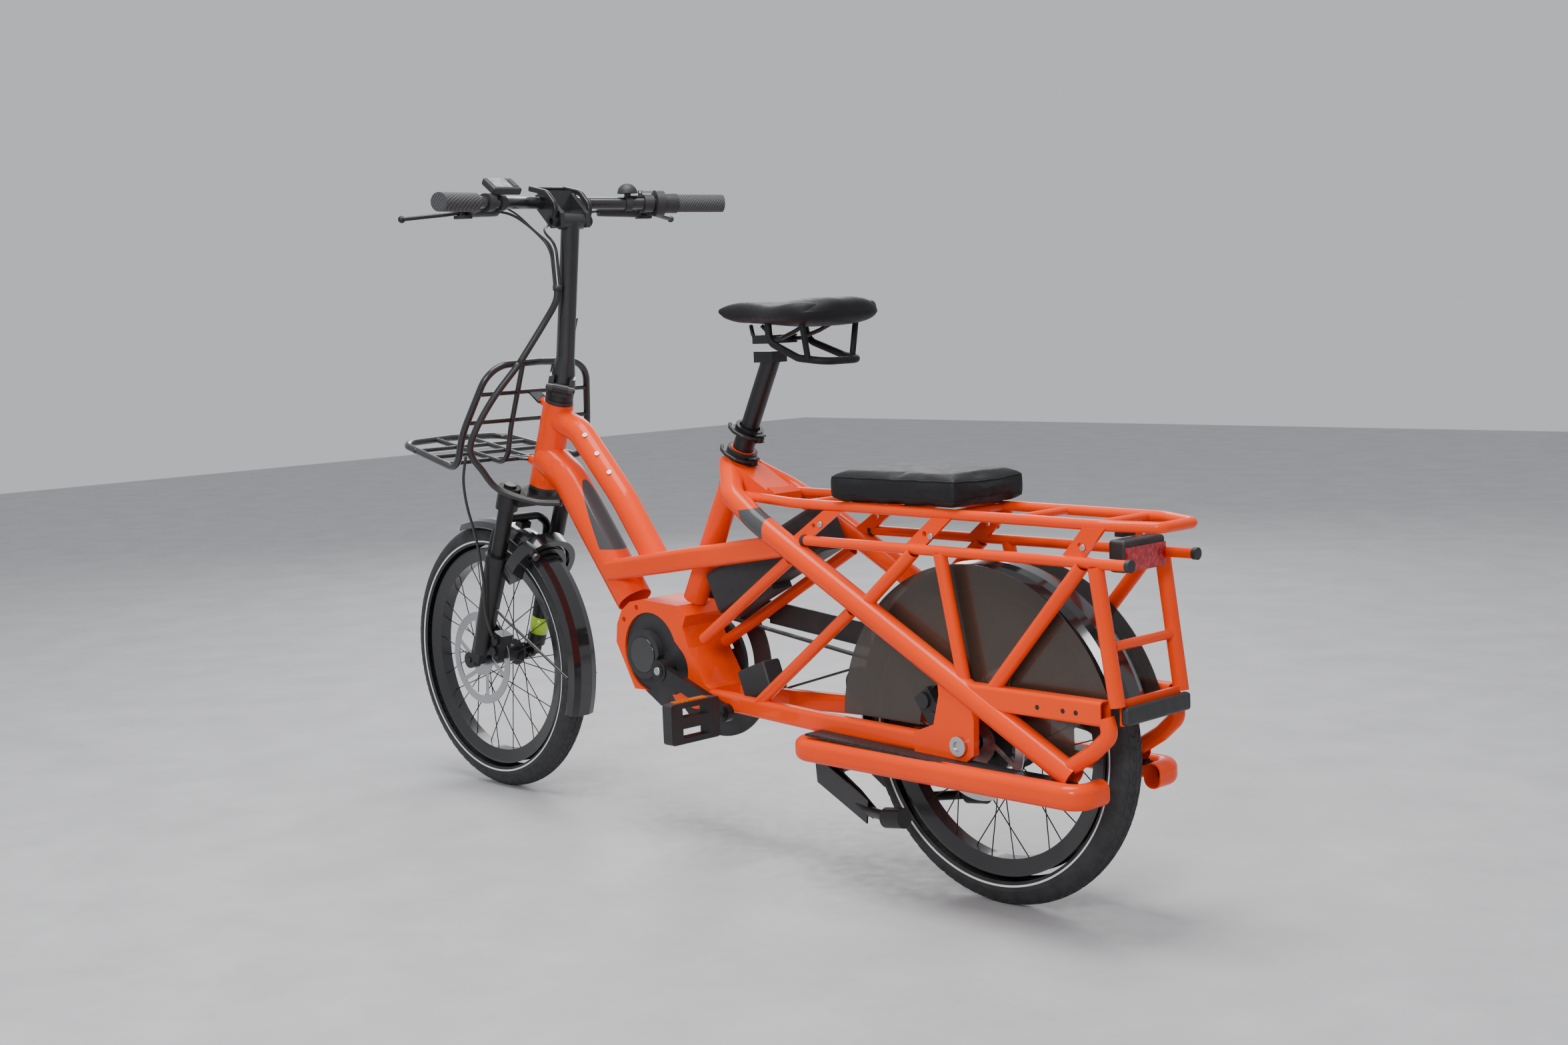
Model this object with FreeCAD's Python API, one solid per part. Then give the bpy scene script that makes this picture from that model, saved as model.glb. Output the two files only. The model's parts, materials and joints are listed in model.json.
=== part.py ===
"""Long-tail electric cargo bicycle with a front rack, a folding handlebar post and foot rails.

Millimetres. +X is forward, +Y is the rider's left, +Z is up. Parts are drawn from the point on the
ground under the rear axle and moved at export, so that the origin is under the middle of the bicycle.
"""
import FreeCAD, Part
import math
import os
from FreeCAD import Vector

# ---------------------------------------------------------------- driving dimensions
WHEELBASE = 1269.0
TYRE_RADIUS = 258.0
TYRE_WIDTH = 55.0
RIM_OUTER = 212.0
RIM_INNER = 186.0
RIM_WIDTH = 34.0
HEAD_ANGLE = 69.4
SEAT_ANGLE = 62.5
RACK_TAIL_X = -341.0
CRANK_LENGTH = 170.0
BAR_HALF_WIDTH = 322.0
RUNNING = 0.05
GAP = 0.3
WALL = 2.0

AXLE_HEIGHT = TYRE_RADIUS
RAIL_RADIUS = 8.0
FOREMOST_X = WHEELBASE + TYRE_RADIUS
REARMOST_X = RACK_TAIL_X - RAIL_RADIUS
MIDDLE_X = (FOREMOST_X + REARMOST_X) / 2

X = Vector(1, 0, 0)
Y = Vector(0, 1, 0)
Z = Vector(0, 0, 1)
REAR_AXLE = Vector(0, 0, AXLE_HEIGHT)
FRONT_AXLE = Vector(WHEELBASE, 0, AXLE_HEIGHT)
SIDES = (1, -1)


# ---------------------------------------------------------------- shape helpers
def rod(start, end, radius):
    """Round bar between two points."""
    return Part.makeCylinder(radius, (end - start).Length, start, end - start)


def sleeve(start, end, outer, inner):
    """Round tube between two points."""
    axis = (end - start).normalize()
    return rod(start, end, outer).cut(rod(start - axis, end + axis, inner))


def cone(start, end, radius_start, radius_end):
    return Part.makeCone(radius_start, radius_end, (end - start).Length, start, end - start)


def rounded_path(points, bends):
    """Straight runs joined by tangent arcs, as large as the runs allow up to the asked bend."""
    edges = []
    last = points[0]
    for i in range(1, len(points) - 1):
        before = points[i - 1] - points[i]
        after = points[i + 1] - points[i]
        turn = math.pi - before.getAngle(after)
        if turn < 0.002:
            continue
        room = 0.45 * min(before.Length, after.Length) / math.tan(turn / 2)
        radius = min(bends[i - 1], room)
        reach = radius * math.tan(turn / 2)
        into = points[i] + before.normalize() * reach
        out = points[i] + after.normalize() * reach
        bisector = (before + after).normalize()
        middle = points[i] + bisector * (radius / math.cos(turn / 2) - radius)
        if (into - last).Length > 0.01:
            edges.append(Part.LineSegment(last, into).toShape())
        edges.append(Part.Arc(into, middle, out).toShape())
        last = out
    edges.append(Part.LineSegment(last, points[-1]).toShape())
    return Part.Wire(edges)


def bent_bar(points, radius, bend=1e6):
    """Round bar along a bent path."""
    bends = bend if isinstance(bend, (list, tuple)) else [bend] * (len(points) - 2)
    section = Part.Wire([Part.makeCircle(radius, points[0], points[1] - points[0])])
    return rounded_path(points, bends).makePipeShell([section], True, False)


def bent_tube(points, radius, bend=1e6, wall=WALL):
    """Outer and inner solids of a bent round tube."""
    return bent_bar(points, radius, bend), bent_bar(points, radius - wall, bend)


def rounded_rectangle(centre, across, up, width, height, corner):
    """Wire of a rectangle with round corners; across and up are unit vectors."""
    w = width / 2
    h = height / 2
    edges = []
    corners = ((w, h, 1, 1), (-w, h, -1, 1), (-w, -h, -1, -1), (w, -h, 1, -1))
    lean = corner * (1 - math.sqrt(0.5))
    ends = []
    for x, y, sx, sy in corners:
        a = centre + across * x + up * (y - sy * corner)
        b = centre + across * (x - sx * corner) + up * y
        m = centre + across * (x - sx * lean) + up * (y - sy * lean)
        ends.append((a, m, b) if sx * sy > 0 else (b, m, a))
    for i, (a, m, b) in enumerate(ends):
        edges.append(Part.Arc(a, m, b).toShape())
        following = ends[(i + 1) % 4][0]
        if (following - b).Length > 0.01:
            edges.append(Part.LineSegment(b, following).toShape())
    return Part.Wire(edges)


def beam(points, width, height, corner, bend=60.0):
    """Bar of rounded rectangular section along a path; width is measured level."""
    along = (points[1] - points[0]).normalize()
    across = Z.cross(along).normalize()
    up = along.cross(across).normalize()
    section = rounded_rectangle(points[0], across, up, width, height, corner)
    bends = [bend] * (len(points) - 2)
    return rounded_path(points, bends).makePipeShell([section], True, False)


def beam_tube(points, width, height, corner, bend=60.0, wall=WALL):
    inner = beam(points, width - 2 * wall, height - 2 * wall, corner - wall, bend)
    return beam(points, width, height, corner, bend), inner


def plate(outline, y_low, y_high):
    """Plate from an outline of (x, z) points, between two values of y."""
    points = [Vector(x, y_low, z) for x, z in outline]
    return Part.Face(Part.makePolygon(points + points[:1])).extrude(Vector(0, y_high - y_low, 0))


def block(centre, along, up, length, width, height):
    """Box centred on a point; length runs along, height runs up."""
    across = up.cross(along).normalize()
    corner = centre - along * (length / 2) - across * (width / 2) - up * (height / 2)
    corners = [corner, corner + along * length, corner + along * length + across * width,
               corner + across * width, corner]
    return Part.Face(Part.makePolygon(corners)).extrude(up * height)


def disc(centre, radius, y_low, y_high):
    """Flat disc whose axis is level, across the bicycle."""
    return rod(Vector(centre.x, y_low, centre.z), Vector(centre.x, y_high, centre.z), radius)


def ring(centre, outer, inner, y_low, y_high):
    return disc(centre, outer, y_low, y_high).cut(disc(centre, inner, y_low - 1, y_high + 1))


def turned(centre, profile, degrees=360.0):
    """Body turned about a level axle; profile is (radius, y) points."""
    points = [Vector(centre.x + r, y, centre.z) for r, y in profile]
    face = Part.Face(Part.makePolygon(points + points[:1]))
    return face.revolve(Vector(centre.x, 0, centre.z), Y, degrees)


def mirrored(shape):
    """The same shape on the other side of the bicycle."""
    return shape.mirror(Vector(0, 0, 0), Y)


def both_sides(shape):
    return [shape, mirrored(shape)]


def near(a, b):
    return a.BoundBox.intersect(b.BoundBox)


def largest(shape):
    return max(shape.Solids, key=lambda solid: solid.Volume)


def coped(shape, others):
    """The shape with its ends cut to fit against other members."""
    for other in others:
        if near(shape, other):
            shape = shape.cut(other)
    return largest(shape)


def fused(shapes):
    return shapes[0].multiFuse(shapes[1:]).removeSplitter() if len(shapes) > 1 else shapes[0]


def bolt(head, direction, radius=4.0, length=14.0, head_height=4.0):
    """Button-head bolt; head is the middle of the head's underside, direction points outward."""
    out = Vector(direction).normalize()
    knob = Part.makeCylinder(radius * 1.6, head_height, head, out)
    socket = Part.makeCylinder(radius * 0.7, head_height * 0.6, head + out * head_height * 0.5, out)
    return knob.fuse(rod(head - out * length, head, radius)).cut(socket)


NODES = {}


def add(name, *shapes):
    """Keep shapes as one node; several shapes stay separate solids."""
    flat = []
    for shape in shapes:
        flat += shape if isinstance(shape, list) else [shape]
    NODES.setdefault(name, []).extend(flat)


# ---------------------------------------------------------------- steering frame
HEAD_LOW = Vector(1101, 0, 599)
HEAD_UP = Vector(-math.cos(math.radians(HEAD_ANGLE)), 0, math.sin(math.radians(HEAD_ANGLE)))
HEAD_FORE = Vector(HEAD_UP.z, 0, -HEAD_UP.x)
HEAD_LENGTH = 165.0
LEG_FORE = 16.0
LEG_SIDE = 66.0
TRAVEL = 40.0


def fork(down, fore=0.0, side=0.0):
    """Point in the steering frame: down the axis from the head tube's lower end, forward, left."""
    return HEAD_LOW - HEAD_UP * down + HEAD_FORE * fore + Y * side


AXLE_FROM_HEAD = FRONT_AXLE - HEAD_LOW
AXLE_DOWN = -AXLE_FROM_HEAD.dot(HEAD_UP)
AXLE_FORE = AXLE_FROM_HEAD.dot(HEAD_FORE)

SEAT_TOP = Vector(545, 0, 680)
SEAT_DOWN = Vector(math.cos(math.radians(SEAT_ANGLE)), 0, -math.sin(math.radians(SEAT_ANGLE)))
SEAT_TUBE_LENGTH = 300.0
SEAT_TUBE_RADIUS = 21.0
SLEEVE_RADIUS = 18.0
POST_RADIUS = 15.5


def seat(up, back=0.0, side=0.0):
    """Point in the seat frame: up the seat tube from its top end, back, left."""
    return SEAT_TOP - SEAT_DOWN * up + Vector(SEAT_DOWN.z, 0, -SEAT_DOWN.x) * back + Y * side


CRANK = Vector(700, 0, 296)
MOTOR = Vector(752, 0, 320)
MOTOR_RIGHT = -42.0


# ---------------------------------------------------------------- frame
STAY_RADIUS = 19.0
STAY_SIDE = 80.0
STRUT_RADIUS = 10.5
UPRIGHT_RADIUS = 11.5
LOWER_RAIL_SIDE = 78.0
LOWER_RAIL_HEIGHT = 545.0
TOP_RAIL_SIDE = 66.0
TOP_RAIL_HEIGHT = 598.0
FOOT_RAIL_HEIGHT = 217.0
FOOT_RAIL_SIDE = 113.0
HEAD_RADIUS = 28.0
HEAD_BORE = 22.0
STEERER_RADIUS = 14.3
DOWN_TUBE_RADIUS = 33.0
TOP_TUBE_RADIUS = 24.0


def motor_outline():
    """Side shape of the drive unit: a large drum and a small one round the crank axle."""
    drum = disc(MOTOR, 70, -60, 60)
    lobe = disc(CRANK, 46, -60, 60)
    bridge = plate([(735, 388), (676, 336), (680, 255), (745, 251)], -60, 60)
    return fused([drum, lobe, bridge])


def frame_members():
    """Outer solids of the main tubes, each cut to fit the ones before it."""
    head = rod(fork(0), fork(-HEAD_LENGTH), HEAD_RADIUS)
    seat_outer = rod(seat(0), seat(-SEAT_TUBE_LENGTH), SEAT_TUBE_RADIUS)
    down_outer, down_inner = bent_tube(
        [Vector(1084, 0, 652), Vector(1020, 0, 612), Vector(850, 0, 399)], DOWN_TUBE_RADIUS, 90)
    top_outer, top_inner = bent_tube(
        [Vector(1054, 0, 726), Vector(984, 0, 701), Vector(868, 0, 584), Vector(782, 0, 474)],
        TOP_TUBE_RADIUS, [60, 260])
    return head, seat_outer, down_outer, down_inner, top_outer, top_inner


def make_frame():
    head, seat_outer, down_outer, down_inner, top_outer, top_inner = frame_members()
    bosses = [rod(fork(-150, 20), fork(-150, 46), 8), rod(fork(-30, 20), fork(-30, 52), 8)]
    bore = rod(fork(5), fork(-HEAD_LENGTH - 5), HEAD_BORE)
    head_shape = fused([head] + bosses).cut(bore)
    add("head_tube", head_shape)

    head_full = fused([head] + bosses)
    motor = motor_outline()
    shell_outer = plate([(846, 330), (842, 362), (828, 388), (804, 405), (770, 412), (730, 410), (676, 408),
                         (655, 392), (664, 372), (650, 336), (612, 276), (600, 271), (600, 237), (640, 232),
                         (690, 240), (700, 252)], MOTOR_RIGHT, 50)
    shell_outer = shell_outer.fuse(plate([(846, 330), (800, 250), (700, 252), (690, 300)], MOTOR_RIGHT, 50))
    shell = largest(shell_outer.cut(motor))
    window = [disc(Vector(822, 0, 372), 5, -60, 60), disc(Vector(786, 0, 396), 5, -60, 60)]
    shell = largest(shell.cut(window[0]).cut(window[1]))
    shell = coped(shell, [seat_outer])
    shell_full = shell_outer

    down = coped(coped(down_outer.cut(down_inner), [head_full]), [shell_full])
    add("down_tube", down)

    beams_outer = []
    beams_inner = []
    for s in SIDES:
        route = [Vector(884, s * 27, 453), Vector(640, s * 42, 492), Vector(560, s * 46, 504),
                 Vector(352, s * 80, 538)]
        outer, inner = beam_tube(route, 22, 38, 9, 200)
        beams_outer.append(outer)
        beams_inner.append(inner)

    stays_outer = []
    stays_inner = []
    for s in SIDES:
        route = [Vector(566, s * 12, 655), Vector(503, s * 66, 608), Vector(430, s * 80, 569.5),
                 Vector(-204, s * STAY_SIDE, 236)]
        outer, inner = bent_tube(route, STAY_RADIUS, [50, 160])
        stays_outer.append(outer)
        stays_inner.append(inner)

    gusset = plate([(556, 672), (520, 662), (478, 634), (440, 610), (440, 596), (500, 600), (576, 622)], -30, 30)
    taper = [block(Vector(440, s * 58, 640), X, Z, 260, 44, 120) for s in SIDES]
    gusset = gusset.cut(taper[0]).cut(taper[1])
    seat_bore = rod(seat(5), seat(-SEAT_TUBE_LENGTH + 20), SLEEVE_RADIUS + RUNNING)
    seat_bottom = rod(seat(-SEAT_TUBE_LENGTH + 16), seat(-SEAT_TUBE_LENGTH - 5), SEAT_TUBE_RADIUS - WALL)
    seat_shape = seat_outer.fuse(gusset).cut(seat_bore).cut(seat_bottom)
    add("seat_tube", coped(seat_shape, [motor]))
    seat_full = seat_outer.fuse(gusset)

    stays = [coped(o.cut(i), [seat_full]) for o, i in zip(stays_outer, stays_inner)]
    if near(stays[0], stays[1]):
        split = block(Vector(540, -40, 640), X, Z, 200, 80, 120)
        stays = [largest(stays[0].cut(split)), largest(stays[1].cut(split.mirror(Vector(0, 0, 0), Y)))]
    add("main_stays", stays)
    mids = [coped(o.cut(i), [down_outer, seat_outer, stay]) for o, i, stay in
            zip(beams_outer, beams_inner, stays_outer)]
    add("main_stays", mids)
    add("top_tube", coped(top_outer.cut(top_inner), [head_full, down_outer] + beams_outer))
    add("motor_shell", coped(shell, [down_outer.cut(rod(Vector(850, 0, 399), Vector(820, 0, 361), 40))]))
    return stays_outer, beams_outer, seat_full, shell_full


def make_lower_stays(stays_outer, shell_full):
    """Chainstays, dropouts and the foot rails with their hangers."""
    outers = []
    shapes = []
    for s in SIDES:
        route = [Vector(612, 38, 252), Vector(560, 50, 256), Vector(318, 70, 253), Vector(60, 78, 252)]
        if s < 0:
            route = [Vector(612, -31, 252), Vector(474, -34, 254), Vector(318, -70, 253), Vector(60, -78, 252)]
        outer, inner = beam_tube(route, 22, 32, 8, 80)
        drop = plate([(92, 268), (92, 238), (34, 226), (0, 226), (-26, 246), (-28, 300), (-10, 352),
                      (44, 378), (40, 330), (52, 284)], s * 84 - 6, s * 84 + 6)
        hole = disc(REAR_AXLE, 9, -100, 100)
        outer_all = outer.fuse(drop)
        shape = outer_all.cut(inner).cut(hole)
        outers.append(outer_all)
        shapes.append(coped(shape, [shell_full] + stays_outer))
    add("chainstays", shapes)

    rails = []
    rail_outers = []
    for s in SIDES:
        side = s * FOOT_RAIL_SIDE
        route = [Vector(322, s * 60, FOOT_RAIL_HEIGHT), Vector(322, side, FOOT_RAIL_HEIGHT),
                 Vector(-236, side, FOOT_RAIL_HEIGHT), Vector(-236, s * 60, FOOT_RAIL_HEIGHT)]
        outer, inner = beam_tube(route, 30, 38, 14, 34)
        rail_outers.append(outer)
        rails.append(coped(outer.cut(inner), outers + stays_outer))
    add("foot_rails", rails)
    decks = []
    for s in SIDES:
        deck = block(Vector(45, s * 92.5, 231), X, Z, 500, 11, 3)
        wide = plate([(296, 229.5), (296, 232.5), (-190, 232.5), (-190, 229.5)], 74, 99)
        wide = wide if s > 0 else mirrored(wide)
        decks.append(coped(wide.fuse(deck), rail_outers + outers + stays_outer))
    add("foot_decks", decks)
    return outers, rail_outers


def make_side_struts(stays_outer, stay_parts, beams_outer, rail_outers):
    """Truss of small tubes between the stays, the rails and the tail."""
    lower_rails = [rod(Vector(322, s * LOWER_RAIL_SIDE, LOWER_RAIL_HEIGHT),
                       Vector(-303, s * LOWER_RAIL_SIDE, LOWER_RAIL_HEIGHT), RAIL_RADIUS) for s in SIDES]
    blockers = stays_outer + stay_parts + rail_outers + lower_rails
    struts = []
    boxes = []
    for s in SIDES:
        box_outer, box_inner = beam_tube(
            [Vector(40, s * 80, 336), Vector(-262, s * 80, 336)], 24, 36, 6)
        tail_outer, tail_inner = bent_tube(
            [Vector(-262, s * 80, 330), Vector(-270, s * 80, 306), Vector(-240, s * 80, 278),
             Vector(-190, s * 80, 246)], 12, 40)
        box = coped(box_outer.cut(box_inner), stays_outer)
        boxes.append(box_outer)
        tail = coped(tail_outer.cut(tail_inner), stays_outer + [box_outer] + rail_outers)
        struts += [box, tail]
        spans = [
            (Vector(196, s * 79, 452), Vector(92, s * 79, 540), STRUT_RADIUS),
            (Vector(38, s * 79, 542), Vector(-4, s * 79, 346), STRUT_RADIUS),
            (Vector(-56, s * 79, 346), Vector(-226, s * 79, 540), STRUT_RADIUS),
            (Vector(-249, s * 78, 540), Vector(-279, s * 75, 346), UPRIGHT_RADIUS),
        ]
        if s > 0:
            spans.append((Vector(612, 46, 356), Vector(362, 76, 512), 10.0))
            spans.append((Vector(470, 58, 262), Vector(226, 78, 440), 10.0))
        else:
            spans.append((Vector(640, -26, 338), Vector(362, -68, 512), 10.0))
            spans.append((Vector(340, -70, 262), Vector(226, -78, 440), 10.0))
        placed = []
        for start, end, radius in spans:
            outer = rod(start, end, radius)
            shape = coped(outer.cut(rod(start, end, radius - 1.6)),
                          blockers + [box_outer] + beams_outer + placed)
            placed.append(outer)
            struts.append(shape)
    add("side_struts", struts)

    cross_plate = block(Vector(-280, 0, 336), Y, Z, 136, 6, 36)
    cross_bar = rod(Vector(-267, -66, 428), Vector(-267, 66, 428), 7)
    uprights = [rod(Vector(-249, s * 78, 540), Vector(-279, s * 75, 346), UPRIGHT_RADIUS) for s in SIDES]
    add("side_struts", coped(cross_plate, boxes), coped(cross_bar, uprights))
    return lower_rails, boxes


def make_cargo_rack(stays_outer, beams_outer, seat_full, lower_rails, boxes):
    """Top rack loop with its cross bars and braces, and the lower pannier rails."""
    half = [Vector(500, 44, 606), Vector(360, TOP_RAIL_SIDE, 602), Vector(-262, TOP_RAIL_SIDE, 597),
            Vector(-300, 50, 596), Vector(-333, 36, 595), Vector(-333, 0, 595)]
    left = bent_bar(half, RAIL_RADIUS, [90, 60, 30, 14])
    loop = coped(left.fuse(mirrored(left)), [seat_full])
    pieces = [loop]
    for x, height in ((340, 601), (255, 600), (150, 599), (36, 598), (-90, 598), (-236, 597)):
        pieces.append(coped(rod(Vector(x, -60, height), Vector(x, 60, height), 6), [loop]))
    for s in SIDES:
        rail = lower_rails[0 if s > 0 else 1]
        hollow = rod(Vector(330, s * LOWER_RAIL_SIDE, LOWER_RAIL_HEIGHT),
                     Vector(-310, s * LOWER_RAIL_SIDE, LOWER_RAIL_HEIGHT), RAIL_RADIUS - WALL)
        pieces.append(coped(rail.cut(hollow), stays_outer + beams_outer))
        for low, top in ((352, 262), (108, 34), (-194, -248)):
            brace = plate([(low + 16, 540), (top + 22, 594), (top - 16, 594), (low - 24, 540)], 70, 76)
            brace = brace if s > 0 else mirrored(brace)
            eye = disc(Vector((low + top) / 2, 0, 569), 4.2, -90, 90)
            pieces.append(coped(brace.cut(eye), [loop, rail] + stays_outer))
    add("cargo_rack", pieces)


def make_drive():
    """Drive unit with its round cap, and the battery behind the seat tube."""
    body = motor_outline().common(block(Vector(730, 2, 320), X, Z, 400, 88, 400))
    chin = plate([(826, 322), (812, 282), (778, 250), (735, 226), (700, 222), (672, 234), (672, 262),
                  (728, 262), (790, 300)], MOTOR_RIGHT, 46)
    cap = largest(disc(Vector(762, 0, 316), 43, 46, 60).cut(disc(CRANK, 29, 40, 70)))
    unit = largest(body.fuse(chin).cut(disc(CRANK, AXLE_RADIUS + RUNNING, -70, 70)))
    add("motor_unit", unit, cap)

    low = Vector(604, 0, 433)
    high = Vector(352, 0, 556)
    along = (high - low).normalize()
    up = Vector(-along.z, 0, along.x) * -1
    pack = block((low + high) / 2, along, up, (high - low).Length, 62, 76)
    add("battery", pack.makeFillet(10, [e for e in pack.Edges if e.Length > 200]))
    holder = block(low + along * 60 - up * 43, along, up, 150, 44, 10)
    add("battery", holder)


AXLE_RADIUS = 12.0
BELT_Y = -52.2
BELT_WIDTH = 12.0
BELT_PITCH = 11.0
PULLEY_TEETH = 48
COG_TEETH = 22
PULLEY_RADIUS = PULLEY_TEETH * BELT_PITCH / (2 * math.pi)
COG_RADIUS = COG_TEETH * BELT_PITCH / (2 * math.pi)
BELT_BACK = 2.5
BELT_FACE = 1.0
SHOE = Vector(345, 0, 292)
SHOE_RADIUS = 24.0
GUARD_Y = -61.0


def tangent_normal(way, distance_change, sense):
    """Unit normal of a line whose distance from two centres changes by a known amount."""
    sine = distance_change / way.Length
    along = Vector(way).normalize()
    side = Vector(-along.z, 0, along.x) * sense
    return along * -sine + side * math.sqrt(1 - sine * sine)


def belt_outline(offset):
    """Closed wire at a distance outside the belt's pitch line, in the plane of the bicycle."""
    big = PULLEY_RADIUS + offset
    small = COG_RADIUS + offset
    shoe = SHOE_RADIUS + BELT_BACK - offset
    top = tangent_normal(CRANK - REAR_AXLE, big - small, 1)
    front = tangent_normal(CRANK - SHOE, big + shoe, -1)
    rear = tangent_normal(REAR_AXLE - SHOE, small + shoe, 1)
    crank_top = CRANK + top * big
    crank_low = CRANK + front * big
    cog_top = REAR_AXLE + top * small
    cog_low = REAR_AXLE + rear * small
    shoe_front = SHOE - front * shoe
    shoe_rear = SHOE - rear * shoe
    crest = SHOE - (front + rear).normalize() * shoe
    edges = [Part.LineSegment(cog_top, crank_top).toShape(),
             Part.Arc(crank_top, CRANK + X * big, crank_low).toShape(),
             Part.LineSegment(crank_low, shoe_front).toShape(),
             Part.Arc(shoe_front, crest, shoe_rear).toShape(),
             Part.LineSegment(shoe_rear, cog_low).toShape(),
             Part.Arc(cog_low, REAR_AXLE - X * small, cog_top).toShape()]
    return Part.Wire(edges)


def make_belt(chain_outers):
    """Toothed belt, its outer guard and the guide shoe under its lower run."""
    outer = Part.Face(belt_outline(BELT_BACK)).extrude(Y * BELT_WIDTH)
    inner = Part.Face(belt_outline(-BELT_FACE)).extrude(Y * BELT_WIDTH)
    belt = outer.cut(inner)
    belt.translate(Y * (BELT_Y - BELT_WIDTH / 2))
    add("drive_belt", belt)
    guard = ring(CRANK, 138, 96, GUARD_Y - 1.5, GUARD_Y + 1.5)
    bar = plate([(640, 420), (322, 392), (322, 352), (640, 380)], GUARD_Y - 1.5, GUARD_Y + 1.5)
    lip = block(Vector(470, GUARD_Y + 10, 409), Vector(318, 0, 28).normalize(), Vector(-28, 0, 318).normalize(),
                300, 17, 3)
    guard = fused([guard, bar, lip]).cut(ring(CRANK, 200, 138, -90, -40).common(
        plate([(560, 380), (900, 380), (900, 100), (560, 100)], -90, -40)))
    shoe = disc(SHOE, SHOE_RADIUS - GAP, BELT_Y - 6, BELT_Y + 6)
    arm = plate([(337, 296), (353, 296), (358, 262), (332, 262)], BELT_Y - 10, BELT_Y - 6)
    add("belt_guard", largest(guard), coped(shoe.fuse(arm), chain_outers))


def make_wheel(prefix, centre, hub_radius, flange_radius, flange_side, end_side, rotor_side, bore):
    """Tyre, rim, hub with its spokes, and brake disc of one wheel."""
    tyre_centre = TYRE_RADIUS - TYRE_WIDTH / 2
    tyre = Part.makeTorus(tyre_centre, TYRE_WIDTH / 2, centre, Y)
    hollow = Part.makeTorus(tyre_centre, TYRE_WIDTH / 2 - 4, centre, Y)
    seat_ring = turned(centre, [(150, -17), (RIM_OUTER, -17), (RIM_OUTER, 17), (150, 17)])
    add(prefix + "_tyre", largest(tyre.cut(hollow).cut(seat_ring)))
    rim = turned(centre, [(RIM_INNER, -12), (208, -17), (RIM_OUTER, -17), (RIM_OUTER, -14.5), (206, -13),
                          (191, -9), (191, 9), (206, 13), (RIM_OUTER, 14.5), (RIM_OUTER, 17), (208, 17),
                          (RIM_INNER, 12)])
    add(prefix + "_rim", rim)
    profile = [(bore, -end_side), (12, -end_side), (12, -flange_side - 3), (flange_radius, -flange_side - 3),
               (flange_radius, -flange_side), (hub_radius, -flange_side + 4), (hub_radius, flange_side - 4),
               (flange_radius, flange_side), (flange_radius, flange_side + 3), (12, flange_side + 3),
               (12, end_side), (bore, end_side)]
    hub = turned(centre, profile)
    spokes = []
    per_side = 16
    for s in SIDES:
        for k in range(per_side):
            lean = 38.0 if k % 2 else -38.0
            at_rim = 360.0 * (k + (0.25 if s > 0 else 0.75)) / per_side
            at_hub = at_rim + lean
            radius = flange_radius - 2
            start = centre + Vector(radius * math.cos(math.radians(at_hub)), s * (flange_side + 1.5),
                                    radius * math.sin(math.radians(at_hub)))
            end = centre + Vector((RIM_INNER - 0.1) * math.cos(math.radians(at_rim)), s * 4,
                                  (RIM_INNER - 0.1) * math.sin(math.radians(at_rim)))
            spokes.append(rod(start, end, 1.0))
    add(prefix + "_hub", hub.multiFuse(spokes))
    rotor = ring(centre, 90, 74, rotor_side, rotor_side + 2)
    carrier = ring(centre, 34, 22, rotor_side, rotor_side + 2)
    arms = [rotor, carrier]
    for k in range(6):
        angle = math.radians(60 * k)
        lag = math.radians(60 * k + 22)
        start = Vector(centre.x + 30 * math.cos(angle), rotor_side + 1, centre.z + 30 * math.sin(angle))
        end = Vector(centre.x + 78 * math.cos(lag), rotor_side + 1, centre.z + 78 * math.sin(lag))
        arms.append(block((start + end) / 2, (end - start).normalize(), Y, (end - start).Length, 8, 2))
    collar = ring(centre, 24, 12.3, flange_side + 3.2, rotor_side + 2)
    add(prefix + "_rotor", fused(arms + [collar]))


def fender_shell(centre, inner, start_angle, span, half_width):
    """Curved mudguard: a shallow arch turned about the axle, angles from forward towards up."""
    outline = [(inner - 14, -half_width), (inner - 4, -half_width * 0.8), (inner, -half_width * 0.4),
               (inner, half_width * 0.4), (inner - 4, half_width * 0.8), (inner - 14, half_width)]
    profile = [(r + 2.5, y * 1.04) for r, y in outline] + outline[::-1]
    shell = turned(centre, profile, span)
    shell.rotate(centre, Y, -(start_angle + span))
    return shell


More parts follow.
